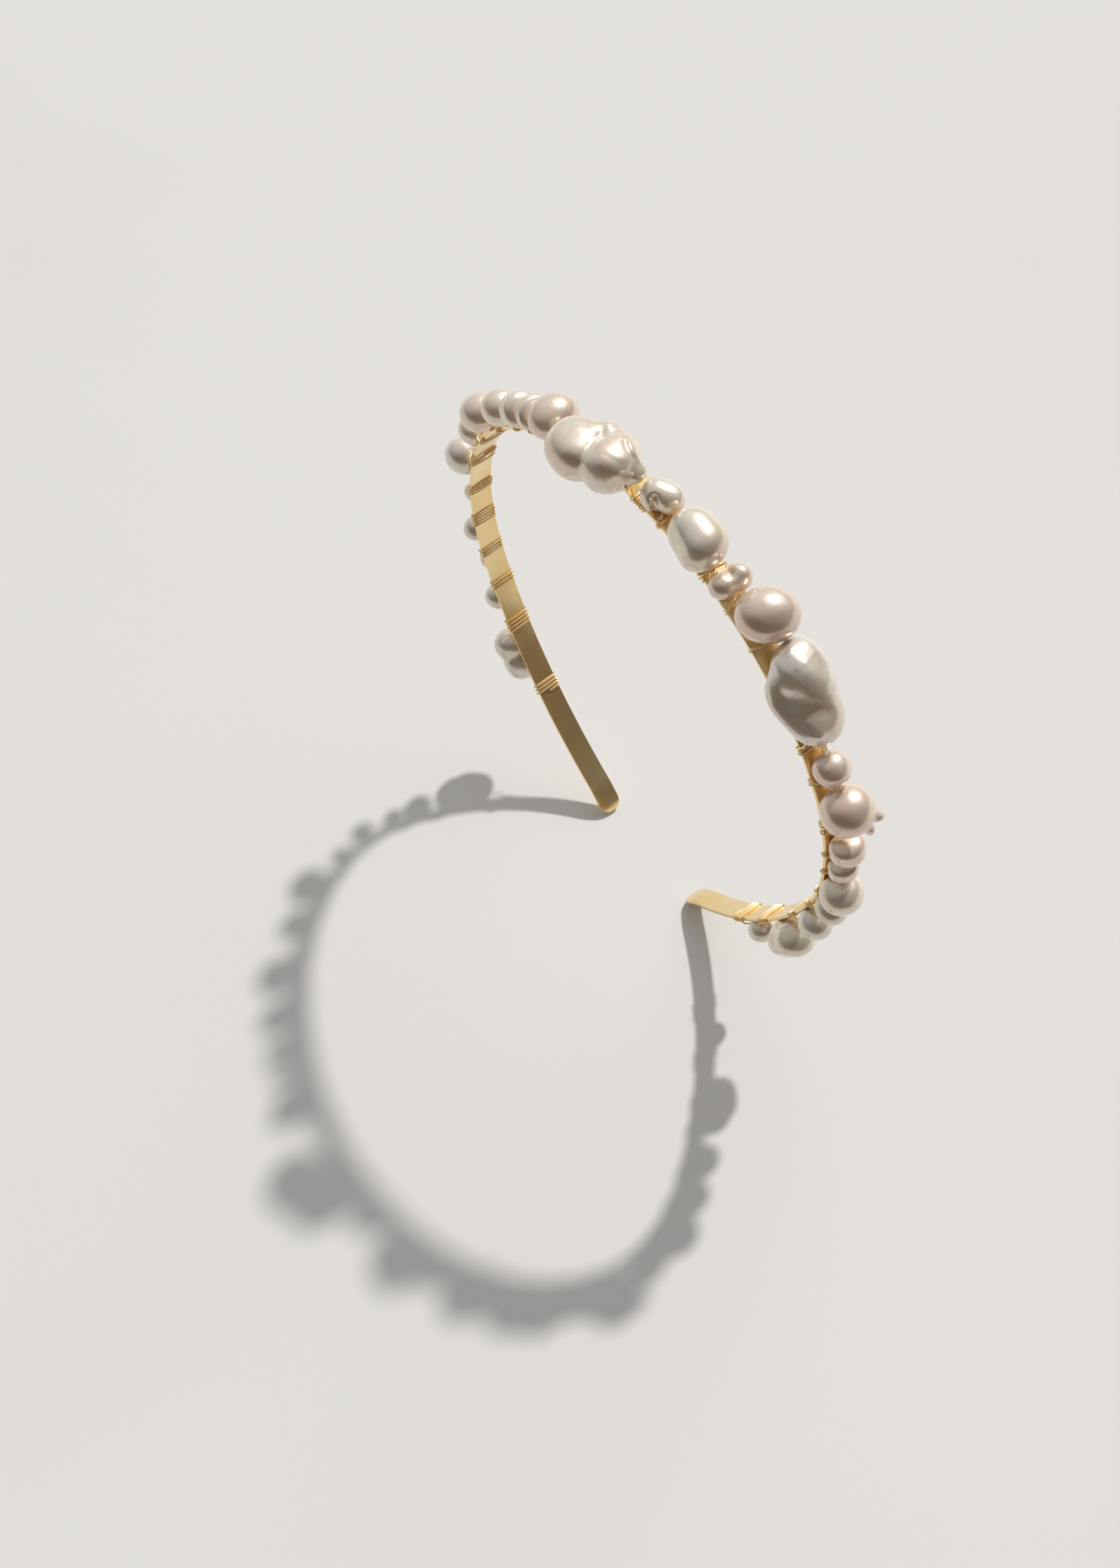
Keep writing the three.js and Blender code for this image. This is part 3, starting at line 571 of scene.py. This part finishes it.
def new_group(name, inputs, outputs):
    """An empty shader node group with its sockets, and its two end nodes."""
    group = bpy.data.node_groups.new(name, "ShaderNodeTree")
    for label, value in inputs:
        kind = "NodeSocketFloat" if isinstance(value, float) else "NodeSocketColor"
        socket = group.interface.new_socket(label, in_out="INPUT", socket_type=kind)
        socket.default_value = value
    for label, kind in outputs:
        group.interface.new_socket(label, in_out="OUTPUT", socket_type=kind)
    return group, group.nodes.new("NodeGroupInput"), group.nodes.new("NodeGroupOutput")


def add_noise(tree, place, scale, detail, roughness, distortion):
    """A cloudy pattern. Scale is how many of its waves lie in a metre."""
    noise = tree.nodes.new("ShaderNodeTexNoise")
    noise.inputs["Scale"].default_value = scale
    noise.inputs["Detail"].default_value = detail
    noise.inputs["Roughness"].default_value = roughness
    noise.inputs["Distortion"].default_value = distortion
    tree.links.new(place, noise.inputs["Vector"])
    return noise


def add_ramp(tree, value, stops):
    """A colour ramp through stops of position and grey level or colour."""
    ramp = tree.nodes.new("ShaderNodeValToRGB")
    elements = ramp.color_ramp.elements
    while len(elements) < len(stops):
        elements.new(1.0)
    for element, (position, colour) in zip(elements, stops):
        element.position = position
        level = colour if isinstance(colour, tuple) else (colour, colour, colour)
        element.color = (*level, 1.0)
    tree.links.new(value, ramp.inputs["Fac"])
    return ramp.outputs["Color"]


def add_mix(tree, share, a, b, blend="MIX"):
    """A colour mixed from two. Each of the three inputs is a socket, a colour or a number."""
    mix = tree.nodes.new("ShaderNodeMix")
    mix.data_type = "RGBA"
    mix.blend_type = blend
    for socket, value in ((mix.inputs[0], share), (mix.inputs[6], a), (mix.inputs[7], b)):
        if isinstance(value, bpy.types.NodeSocket):
            tree.links.new(value, socket)
        elif isinstance(value, tuple):
            socket.default_value = (*value, 1.0)
        else:
            socket.default_value = value
    return mix.outputs[2]


def add_math(tree, operation, *values):
    """A sum, product or the like of two or three sockets or numbers."""
    node = tree.nodes.new("ShaderNodeMath")
    node.operation = operation
    for socket, value in zip(node.inputs, values):
        if isinstance(value, bpy.types.NodeSocket):
            tree.links.new(value, socket)
        else:
            socket.default_value = value
    return node.outputs[0]


def add_bump(tree, height):
    """A normal from a height in metres."""
    bump = tree.nodes.new("ShaderNodeBump")
    tree.links.new(height, bump.inputs["Height"])
    bump.inputs["Strength"].default_value = 1.0
    bump.inputs["Distance"].default_value = 1.0
    return bump.outputs["Normal"]


def add_roughness(tree, value, given_range, rough_range):
    """Roughness that follows a pattern's value from one range to another."""
    rough = tree.nodes.new("ShaderNodeMapRange")
    rough.inputs["From Min"].default_value, rough.inputs["From Max"].default_value = given_range
    rough.inputs["To Min"].default_value, rough.inputs["To Max"].default_value = rough_range
    tree.links.new(value, rough.inputs["Value"])
    return rough.outputs["Result"]


def stretched(tree, place, scale, turn=(0.0, 0.0, 0.0)):
    """Coordinates turned and drawn out, for a pattern that runs one way."""
    mapping = tree.nodes.new("ShaderNodeMapping")
    mapping.inputs["Scale"].default_value = scale
    mapping.inputs["Rotation"].default_value = turn
    tree.links.new(place, mapping.inputs["Vector"])
    return mapping.outputs["Vector"]


NACRE_ROUGHNESS = (0.2, 0.34)
NACRE_DIMPLE_HEIGHT = 0.00003
NACRE_STREAK_HEIGHT = 0.00001
BRASS_ROUGHNESS = (0.16, 0.28)
SPECK_COLOUR = (0.09, 0.055, 0.02)


def nacre_group():
    """Nacre: clouds of two overtones in the body colour, fine growth streaks and shallow dimples."""
    group, given, result = new_group(
        "nacre layers",
        [("Body", (0.9, 0.87, 0.82, 1.0)), ("Overtone", (0.8, 0.7, 0.68, 1.0)),
         ("Second overtone", (0.76, 0.79, 0.7, 1.0))],
        [("Color", "NodeSocketColor"), ("Roughness", "NodeSocketFloat"), ("Normal", "NodeSocketVector")],
    )
    place = group.nodes.new("ShaderNodeTexCoord").outputs["Object"]
    clouds = add_noise(group, place, 150.0, 2.0, 0.45, 0.4)
    second = add_noise(group, place, 95.0, 2.0, 0.5, 0.8)
    veil = add_noise(group, place, 620.0, 4.0, 0.6, 1.2)
    share = add_ramp(group, clouds.outputs["Fac"], ((0.42, 0.0), (0.68, 0.75)))
    other = add_ramp(group, second.outputs["Fac"], ((0.5, 0.0), (0.72, 0.7)))
    toned = add_mix(group, share, given.outputs["Body"], given.outputs["Overtone"])
    toned = add_mix(group, other, toned, given.outputs["Second overtone"])
    faint = add_ramp(group, veil.outputs["Fac"], ((0.3, 0.93), (0.7, 1.0)))
    group.links.new(add_mix(group, 1.0, toned, faint, "MULTIPLY"), result.inputs["Color"])
    rough = add_roughness(group, veil.outputs["Fac"], (0.0, 1.0), NACRE_ROUGHNESS)
    group.links.new(rough, result.inputs["Roughness"])
    streaks = stretched(group, place, (1.0, 0.28, 1.0), (0.3, 0.5, 0.7))
    growth = add_noise(group, streaks, 2100.0, 2.0, 0.55, 0.9)
    dimples = add_noise(group, place, 900.0, 2.0, 0.5, 0.2)
    height = add_math(group, "MULTIPLY", growth.outputs["Fac"], NACRE_STREAK_HEIGHT)
    hollow = add_math(group, "MULTIPLY", dimples.outputs["Fac"], NACRE_DIMPLE_HEIGHT)
    group.links.new(add_bump(group, add_math(group, "ADD", height, hollow)), result.inputs["Normal"])
    return group


def handled_metal_group():
    """Handled brass: warm and pale clouds, drawn scratches and small dark specks."""
    group, given, result = new_group(
        "handled metal",
        [("Bright", (0.92, 0.7, 0.34, 1.0)), ("Dull", (0.6, 0.4, 0.14, 1.0)),
         ("Scratch height", 0.000004)],
        [("Color", "NodeSocketColor"), ("Roughness", "NodeSocketFloat"), ("Normal", "NodeSocketVector")],
    )
    place = group.nodes.new("ShaderNodeTexCoord").outputs["Object"]
    clouds = add_noise(group, place, 130.0, 3.0, 0.55, 0.3)
    specks = add_noise(group, place, 2600.0, 2.0, 0.5, 0.0)
    share = add_ramp(group, clouds.outputs["Fac"], ((0.35, 0.0), (0.7, 0.8)))
    dots = add_ramp(group, specks.outputs["Fac"], ((0.7, 0.0), (0.76, 0.85)))
    toned = add_mix(group, share, given.outputs["Bright"], given.outputs["Dull"])
    group.links.new(add_mix(group, dots, toned, SPECK_COLOUR), result.inputs["Color"])
    rough = add_roughness(group, clouds.outputs["Fac"], (0.3, 0.7), BRASS_ROUGHNESS)
    group.links.new(rough, result.inputs["Roughness"])
    drawn = add_noise(group, stretched(group, place, (0.16, 1.0, 0.16)), 9000.0, 3.0, 0.6, 0.1)
    height = add_math(group, "MULTIPLY", drawn.outputs["Fac"], given.outputs["Scratch height"])
    group.links.new(add_bump(group, height), result.inputs["Normal"])
    return group


# Nacre is part metal, which gives the wide, deep reflections that its many thin layers do.
NACRE_FINISH = {
    "IOR": 1.8,
    "Specular IOR Level": 0.7,
    "Metallic": 0.42,
    "Subsurface Weight": 0.15,
    "Subsurface Radius": (1.0, 0.75, 0.6),
    "Subsurface Scale": 0.0012,
    "Coat Weight": 0.5,
    "Coat Roughness": 0.14,
    "Coat IOR": 1.6,
    "Sheen Weight": 0.12,
    "Sheen Roughness": 0.35,
    "Sheen Tint": (1.0, 0.97, 0.95, 1.0),
}
BRASS_FINISH = {"Metallic": 0.85}


def layered(name, group, group_values, finish):
    """A material whose colour, roughness and normal come from a group, and the rest from its own
    shader's sockets."""
    material = bpy.data.materials.new(name)
    material.use_nodes = True
    tree = material.node_tree
    shader = tree.nodes["Principled BSDF"]
    layers = tree.nodes.new("ShaderNodeGroup")
    layers.node_tree = group
    for label, value in group_values.items():
        layers.inputs[label].default_value = (*value, 1.0) if isinstance(value, tuple) else value
    tree.links.new(layers.outputs["Color"], shader.inputs["Base Color"])
    tree.links.new(layers.outputs["Roughness"], shader.inputs["Roughness"])
    tree.links.new(layers.outputs["Normal"], shader.inputs["Normal"])
    for label, value in finish.items():
        shader.inputs[label].default_value = value
    return material


def nacre(name, body, overtone, second):
    """Pearl: a pale body with clouds of two overtones, under a clear top layer."""
    colours = {"Body": body, "Overtone": overtone, "Second overtone": second}
    return layered(name, nacre_layers, colours, NACRE_FINISH)


def brass(name, bright, dull, scratch):
    """Polished brass, or gold-coloured wire, from the handled metal layers."""
    values = {"Bright": bright, "Dull": dull, "Scratch height": scratch}
    return layered(name, metal_layers, values, BRASS_FINISH)


nacre_layers = nacre_group()
metal_layers = handled_metal_group()
NACRE = {
    "pearl_ivory": nacre("ivory nacre", (0.98, 0.88, 0.74), (0.94, 0.74, 0.57), (0.9, 0.84, 0.6)),
    "pearl_rose": nacre("rose nacre", (0.97, 0.81, 0.68), (0.92, 0.67, 0.52), (0.93, 0.79, 0.6)),
    "pearl_grey": nacre("grey-green nacre", (0.95, 0.89, 0.79), (0.89, 0.73, 0.57), (0.8, 0.78, 0.58)),
}
STRIP_BRASS = brass("polished brass strip", (1.0, 0.79, 0.43), (0.92, 0.66, 0.29), 0.000003)
WIRE_BRASS = brass("bright lacing wire", (1.0, 0.82, 0.52), (0.92, 0.7, 0.38), 0.000001)


# Strip

def rounded_section(width, thickness, edge):
    """Rounded rectangle: four quarter circles of radius edge joined by flats, as (across, out)."""
    quarter = math.pi / 2
    angles = np.linspace(0, quarter, EDGE_POINTS)
    middles = np.array([[1, 1], [-1, 1], [-1, -1], [1, -1]]) * (np.array([width, thickness]) / 2 - edge)
    return np.concatenate([
        middle + edge * np.stack([np.cos(angles + k * quarter), np.sin(angles + k * quarter)], axis=1)
        for k, middle in enumerate(middles)
    ])


def build_strip():
    """The section carried along the centreline. Each tip narrows to a half circle: at a distance
    d from the end, the half width is the square root of r r - (r - d) (r - d). The last rings
    are thinner too."""
    radius = STRIP_WIDTH / 2
    nose = radius * (1 - np.cos(np.linspace(FIRST_TIP_ANGLE, math.pi / 2, RINGS_ON_TIP)))
    body = np.linspace(-HALF_LENGTH + radius, HALF_LENGTH - radius, RINGS_ON_BODY)[1:-1]
    runs = np.concatenate([-HALF_LENGTH + nose, body, (HALF_LENGTH - nose)[::-1]])
    end = HALF_LENGTH - np.abs(runs)
    inward = np.clip(radius - end, 0, radius)
    keep = np.sqrt(np.clip(radius ** 2 - inward ** 2, 0, None)) / radius
    section = rounded_section(STRIP_WIDTH, STRIP_THICKNESS, EDGE_ROUND)
    across = section[None, :, 0] * keep[:, None]
    thin = np.clip(keep * TIP_THINNING, TIP_LEAST_THICKNESS, 1)[:, None]
    points = on_strip(runs[:, None], across, section[None, :, 1] * thin)
    columns = len(section)
    first = np.arange(columns)
    last = first + (len(runs) - 1) * columns
    quads = grid_faces(len(runs), columns, False)
    piece = make_piece("brass_strip", points.reshape(-1, 3), quads, [first, last[::-1]])
    finish_piece(piece, STRIP_BRASS, "brass_strip", "strip_band")


# Wire

def run_at(point):
    """How far along the strip a point lies, found by halving on the strip's own axes."""
    low, high = -HALF_LENGTH, HALF_LENGTH
    for halving in range(RUN_HALVINGS):
        middle = (low + high) / 2
        ahead = (point - on_strip(middle, 0, 0)) @ strip_axes(middle)[0]
        low, high = (middle, high) if ahead > 0 else (low, middle)
    return (low + high) / 2


def turn_corners():
    """Corners of one turn round the strip, as place across and place out: down the front edge,
    under, up the back edge and back over the outer face, with a point halfway over it."""
    wide, thick = STRIP_WIDTH / 2, HALF
    near, far = CORNER_CUT, HUG
    return np.array([
        (-wide - far, thick - near), (-wide - far, -thick + near), (-wide + near, -thick - far),
        (wide - near, -thick - far), (wide + far, -thick + near), (wide + far, thick - near),
        (wide - near, thick + far), (0, thick + far), (-wide + near, thick + far),
    ])


CORNERS = turn_corners()
UNDER_FRONT, UNDER_BACK, BACK_TOP, OVER = 2, 3, 5, 7
MID_FRONT, MID_BACK = 1, 4.5


def even_turns(turns, pitch):
    """Fronts and backs of even turns, as runs from the middle of the winding."""
    fronts = (np.arange(turns + 1) - (turns + HALF_TURN) / 2) * pitch
    return tuple(zip(fronts, fronts + HALF_TURN * pitch))


def winding(rows, first, last, rng):
    """Points of a winding from one corner to another. Rows are the runs at which each turn
    passes the front edge and the back one. Hand winding leaves small odd steps and loops that
    stand out a little from the front edge. A turn that crosses the one before lies on it."""
    points = []
    for step in range(first, last + 1):
        turn, corner = divmod(step, len(CORNERS))
        across, out = CORNERS[corner]
        front, back = rows[turn]
        if corner <= UNDER_FRONT:
            run = front + (corner - MID_FRONT) * EDGE_SLANT
            across = across - (rng.uniform(0.0, LOOP_SLACK) if corner < UNDER_FRONT else 0.0)
        elif corner < OVER:
            run = back + (corner - MID_BACK) * EDGE_SLANT
        elif corner == OVER:
            following = rows[turn + 1][0]
            run = (back + following) / 2
            crossing = turn > 0 and (back - rows[turn - 1][1]) * (following - front) < 0
            out = out + (2 * WIRE_RADIUS if crossing else rng.uniform(0.0, FACE_SLACK))
        else:
            run = rows[turn + 1][0] - LANDING_STEP
        points.append(on_strip(run + rng.normal(0, HAND_SPREAD), across, out))
    return np.array(points)


def cut_end(run):
    """A wire's cut end, on the inner face and halfway across."""
    return on_strip(run, 0, CORNERS[UNDER_FRONT][1])[None]


def lead(edge, upward, mouth, inward):
    """Points from the strip's edge to a bore's mouth: a cubic Bezier curve that stands up first."""
    rise = np.linalg.norm(edge - mouth) * LEAD_RISE_SHARE
    controls = np.array([edge, edge + upward * rise, mouth - inward * LEAD_STRAIGHT, mouth])
    t = np.linspace(0, 1, LEAD_STEPS)[1:-1, None]
    weights = np.concatenate([(1 - t) ** 3, 3 * t * (1 - t) ** 2, 3 * t ** 2 * (1 - t), t ** 3], axis=1)
    return weights @ controls


def unit(vector):
    """A vector of the same direction, one long."""
    return vector / np.linalg.norm(vector)


def smooth_path(points, spacing):
    """Centripetal Catmull-Rom curve through points, sampled about every spacing."""
    points = np.asarray(points)
    padded = np.concatenate([[2 * points[0] - points[1]], points, [2 * points[-1] - points[-2]]])
    gaps = np.sqrt(np.linalg.norm(np.diff(padded, axis=0), axis=1))
    pieces = []
    for i in range(len(points) - 1):
        p0, p1, p2, p3 = padded[i:i + 4]
        t0, t1, t2, t3 = np.concatenate([[0], np.cumsum(gaps[i:i + 3])])
        count = max(2, int(np.linalg.norm(p2 - p1) / spacing))
        t = np.linspace(t1, t2, count, endpoint=False)[:, None]
        a1 = (t1 - t) / (t1 - t0) * p0 + (t - t0) / (t1 - t0) * p1
        a2 = (t2 - t) / (t2 - t1) * p1 + (t - t1) / (t2 - t1) * p2
        a3 = (t3 - t) / (t3 - t2) * p2 + (t - t2) / (t3 - t2) * p3
        b1 = (t2 - t) / (t2 - t0) * a1 + (t - t0) / (t2 - t0) * a2
        b2 = (t3 - t) / (t3 - t1) * a2 + (t - t1) / (t3 - t1) * a3
        pieces.append((t2 - t) / (t2 - t1) * b1 + (t - t1) / (t2 - t1) * b2)
    return np.concatenate([*pieces, points[-1:]])


def build_wire(name, node, controls):
    """A round tube along a smooth path. Each ring is its neighbour's, turned as little as the
    path's bend allows."""
    path = smooth_path(controls, PATH_SPACING)
    heading = np.gradient(path, axis=0)
    heading /= np.linalg.norm(heading, axis=1)[:, None]
    side = np.zeros_like(path)
    current = np.array([0.0, 0.0, 1.0])
    for i, ahead in enumerate(heading):
        current = unit(current - ahead * (current @ ahead))
        side[i] = current
    up = np.cross(heading, side)
    angle = np.linspace(0, 2 * math.pi, WIRE_SIDES, endpoint=False)
    cosine, sine = np.cos(angle)[None, :, None], np.sin(angle)[None, :, None]
    ring = cosine * side[:, None, :] + sine * up[:, None, :]
    points = (path[:, None, :] + WIRE_RADIUS * ring).reshape(-1, 3)
    first = np.arange(WIRE_SIDES)
    last = first + (len(path) - 1) * WIRE_SIDES
    quads = grid_faces(len(path), WIRE_SIDES, False)
    piece = make_piece(name, points, quads, [first, last[::-1]])
    finish_piece(piece, WIRE_BRASS, "lacing_wire", node)


# Wire between one pearl and the next, from the left, as one winding or two: two where one wire
# ends and the next begins. A winding is a count of even turns and their pitch, or rows of the
# runs at which its turns pass the front edge and the back one.
GAPS = (
    ((3, 1.0),), ((2, 1.0),), ((2, 1.0),), ((3, 1.0),), ((2, 1.0),), ((1, 1.0), (1, 1.0)), ((2, 1.0),),
    ((1, 1.0),), ((1, 1.0),), ((1, 1.0),), ((1, 1.0),), ((2, 1.0),),
    (((0.35, -1.0), (1.15, -0.2), (1.95, 1.0)), ((2.5, 0.9), (3.1, 1.9), (4.0, 3.0))),
    (((8.6, 8.2), (9.1, 9.9)),),
    (((22.8, 22.1), (23.8, 22.9), (22.0, 23.4)),),
    (((31.0, 29.7), (31.75, 31.1)),),
    (((40.2, 41.3), (40.75, 41.9)),),
    (((63.3, 63.8), (64.2, 64.5), (64.9, 65.0)),),
    (((71.7, 72.0), (72.7, 72.9)),),
    ((1, 1.0), (1, 1.0)),
    ((1, 0.7),), ((1, 0.7),), ((1, 1.0),), ((1, 1.0),), ((2, 1.0),), ((4, 1.0),),
)


def gap_rows(windings, begin, until):
    """Rows of runs for a gap's windings. Even ones are set side by side in its middle."""
    if isinstance(windings[0][0], tuple):
        return [list(rows) for rows in windings]
    spans = [(turns + HALF_TURN) * pitch for turns, pitch in windings]
    between = (1 - HALF_TURN) * windings[0][1]
    start = (begin + until - sum(spans) - between * (len(spans) - 1)) / 2
    placed = []
    for (turns, pitch), span in zip(windings, spans):
        middle = start + span / 2
        placed.append([(middle + front, middle + back) for front, back in even_turns(turns, pitch)])
        start += span + between
    return placed


def through(pearl):
    """Points of the straight wire through a pearl's bore, with a stub at either mouth."""
    stub = pearl["heading"] * 2 * WIRE_RADIUS
    return np.array([pearl["enter"] - stub, pearl["enter"], pearl["leave"], pearl["leave"] + stub])


def route_wires(pearls):
    """The wires' control points, followed from the left tail to the right one."""
    rng = np.random.default_rng(WINDING_SEED)
    corners = len(CORNERS)
    routes = []
    end = run_at(pearls[0]["enter"]) - TAIL_RUN
    rows = gap_rows(((LEFT_TAIL, TAIL_PITCH),), end - LEFT_TAIL - HALF_TURN, end)[0]
    tail = winding(rows, UNDER_BACK, LEFT_TAIL * corners + BACK_TOP, rng)
    route = [cut_end(rows[0][0] + FIRST_END_TUCK), tail]
    for i, pearl in enumerate(pearls):
        last = route[-1][-2:]
        threaded = through(pearl)
        route.append(lead(last[1], unit(last[1] - last[0]), threaded[0], pearl["heading"]))
        route.append(threaded)
        following = pearls[i + 1] if i + 1 < len(pearls) else None
        windings = GAPS[i] if following else ((RIGHT_TAIL, TAIL_PITCH),)
        begin = run_at(pearl["leave"])
        tail_end = begin + 2 * TAIL_RUN + RIGHT_TAIL + HALF_TURN
        until = run_at(following["enter"]) if following else tail_end
        placed = gap_rows(windings, begin, until)
        rows = placed[0]
        ends = len(placed) > 1 or following is None
        points = winding(rows, 0, (len(rows) - 1) * corners + (UNDER_FRONT if ends else BACK_TOP), rng)
        down = lead(points[0], unit(points[0] - points[1]), threaded[-1], -pearl["heading"])[::-1]
        route += [down, points]
        if not ends:
            continue
        routes.append(np.concatenate([*route, cut_end(rows[-1][0] + END_TUCK)]))
        if following is None:
            return routes
        rows = placed[1]
        start = winding(rows, UNDER_BACK, (len(rows) - 1) * corners + BACK_TOP, rng)
        route = [cut_end(rows[0][1] - END_TUCK), start]
    return routes


build_strip()
bored = [build_pearl(index, row) for index, row in enumerate(PEARLS)]
for number, controls in enumerate(route_wires(bored), 1):
    build_wire(f"lacing_{number}", f"wire_lacing_{number}", controls)


# Floor, light and camera

FLOOR_DROP = 0.0004
FLOOR_NEAR = np.array([0.84, -0.54])
FLOOR_ASIDE = np.array([0.54, 0.84])
FLOOR_NEAR_EDGE, FLOOR_FAR_EDGE, FLOOR_HALF_WIDTH = 0.3, -4.0, 3.0
FLOOR_TONES = (0.72, 0.702, 0.678), (0.75, 0.735, 0.715)
FLOOR_ROUGHNESS = 0.7


def build_floor():
    """A plain table top just under the strip's tips, with a faint unevenness of tone. Its edge
    lies on the near side, below the picture."""
    low = cad_box[0][2] - FLOOR_DROP
    ends = ((FLOOR_NEAR_EDGE, -1), (FLOOR_NEAR_EDGE, 1), (FLOOR_FAR_EDGE, 1), (FLOOR_FAR_EDGE, -1))
    corners = [FLOOR_NEAR * along + FLOOR_ASIDE * side * FLOOR_HALF_WIDTH for along, side in ends]
    mesh = bpy.data.meshes.new("pale floor")
    mesh.from_pydata([(*corner.tolist(), low) for corner in corners], [], [(0, 1, 2, 3)])
    floor = bpy.data.objects.new("pale floor", mesh)
    bpy.context.scene.collection.objects.link(floor)
    material = bpy.data.materials.new("pale floor")
    material.use_nodes = True
    tree = material.node_tree
    shader = tree.nodes["Principled BSDF"]
    place = tree.nodes.new("ShaderNodeTexCoord").outputs["Object"]
    clouds = add_noise(tree, place, 3.0, 3.0, 0.5, 0.5)
    tone = add_ramp(tree, clouds.outputs["Fac"], ((0.3, FLOOR_TONES[0]), (0.7, FLOOR_TONES[1])))
    tree.links.new(tone, shader.inputs["Base Color"])
    shader.inputs["Roughness"].default_value = FLOOR_ROUGHNESS
    mesh.materials.append(material)


def place_object(thing, x_axis, y_axis, z_axis, location):
    """Sets an object's axes and place from four vectors."""
    columns = np.eye(4)
    columns[:3, 0], columns[:3, 1], columns[:3, 2], columns[:3, 3] = x_axis, y_axis, z_axis, location
    thing.matrix_world = Matrix(columns.tolist())


# The room is pale overhead and dark and warm low on the near side. The sun comes in with a soft
# glow round it. Walls and glow are stops of how far toward the bright side and the sun the sky's
# direction points, with colour or strength.
BRIGHT_SIDE = (-0.6, 0.2, 0.775)
WALLS = (
    (0.0, (0.13, 0.075, 0.035)),
    (0.3, (0.11, 0.068, 0.036)),
    (0.44, (0.06, 0.045, 0.033)),
    (0.54, (0.09, 0.078, 0.067)),
    (0.62, (0.19, 0.18, 0.175)),
    (0.7, (0.3, 0.295, 0.295)),
    (0.8, (0.38, 0.38, 0.385)),
    (0.93, (0.44, 0.45, 0.46)),
    (1.0, (0.5, 0.51, 0.53)),
)
SUN_SIDE = (-0.16, 0.6, 0.78)
SUN = 2.3
SUN_ANGLE = math.radians(2.5)
SUN_COLOUR = (1.0, 0.99, 0.975)
GLOW = 0.9
GLOW_COLOUR = (GLOW, 0.99 * GLOW, 0.98 * GLOW)
GLOW_STOPS = ((0.91, 0.0), (0.955, 0.35), (0.985, 1.0))


def toward(tree, direction):
    """A share from 0 to 1 of how far the sky's direction points toward a given one."""
    side = tree.nodes.new("ShaderNodeVectorMath")
    side.operation = "DOT_PRODUCT"
    side.inputs[1].default_value = direction
    tree.links.new(tree.nodes.new("ShaderNodeTexCoord").outputs["Generated"], side.inputs[0])
    return add_math(tree, "MULTIPLY_ADD", side.outputs["Value"], 0.5, 0.5)


def build_room():
    """The walls' light and the sun's glow, added together in the world's colour."""
    world = bpy.data.worlds.new("studio")
    world.use_nodes = True
    tree = world.node_tree
    walls = add_ramp(tree, toward(tree, BRIGHT_SIDE), WALLS)
    glow = add_mix(tree, 1.0, add_ramp(tree, toward(tree, SUN_SIDE), GLOW_STOPS), GLOW_COLOUR, "MULTIPLY")
    tree.links.new(add_mix(tree, 1.0, walls, glow, "ADD"), tree.nodes["Background"].inputs["Color"])
    bpy.context.scene.world = world


def build_sun():
    """A sun lamp that shines from the sun's side toward the origin."""
    light = bpy.data.lights.new("window sun", "SUN")
    light.energy = SUN
    light.angle = SUN_ANGLE
    light.color = SUN_COLOUR
    lamp = bpy.data.objects.new("window sun", light)
    bpy.context.scene.collection.objects.link(lamp)
    back = unit(np.array(SUN_SIDE))
    across = unit(np.cross([0.0, 0.0, 1.0], back))
    place_object(lamp, across, np.cross(back, across), back, SUN_SIDE)


# Camera, as the photograph's perspective gives it: angles in degrees, lengths in millimetres, and
# the focal length in the picture's pixels.
AZIMUTH, ELEVATION, ROLL = 57.282, 57.353, -5.179
DISTANCE, ASIDE, ABOVE = 491.557, 19.693, 27.253
TARGET = np.array([0.0, 0.0, -59.55])
FOCAL_PIXELS = 3157.827
IMAGE_HEIGHT = 2274
SENSOR = 36.0
NEAR_CLIP = 0.01


def build_camera():
    """A camera that looks down at the band from its near side, a little rolled."""
    azimuth, elevation, roll = (math.radians(angle) for angle in (AZIMUTH, ELEVATION, ROLL))
    back = np.array([
        math.sin(azimuth) * math.cos(elevation),
        -math.cos(azimuth) * math.cos(elevation),
        math.sin(elevation),
    ])
    level = np.array([math.cos(azimuth), math.sin(azimuth), 0.0])
    upright = np.cross(back, level)
    right = math.cos(roll) * level + math.sin(roll) * upright
    up = -math.sin(roll) * level + math.cos(roll) * upright
    camera = bpy.data.objects.new("camera", bpy.data.cameras.new("camera"))
    bpy.context.scene.collection.objects.link(camera)
    camera.data.sensor_fit = "AUTO"
    camera.data.sensor_width = SENSOR
    camera.data.lens = FOCAL_PIXELS / IMAGE_HEIGHT * SENSOR
    camera.data.dof.use_dof = False
    camera.data.clip_start = NEAR_CLIP
    place = TARGET - ASIDE * right - ABOVE * up + DISTANCE * back
    place_object(camera, right, up, back, place * MM)
    bpy.context.scene.camera = camera


build_floor()
build_room()
build_sun()
build_camera()
bpy.context.scene.view_settings.view_transform = "Standard"
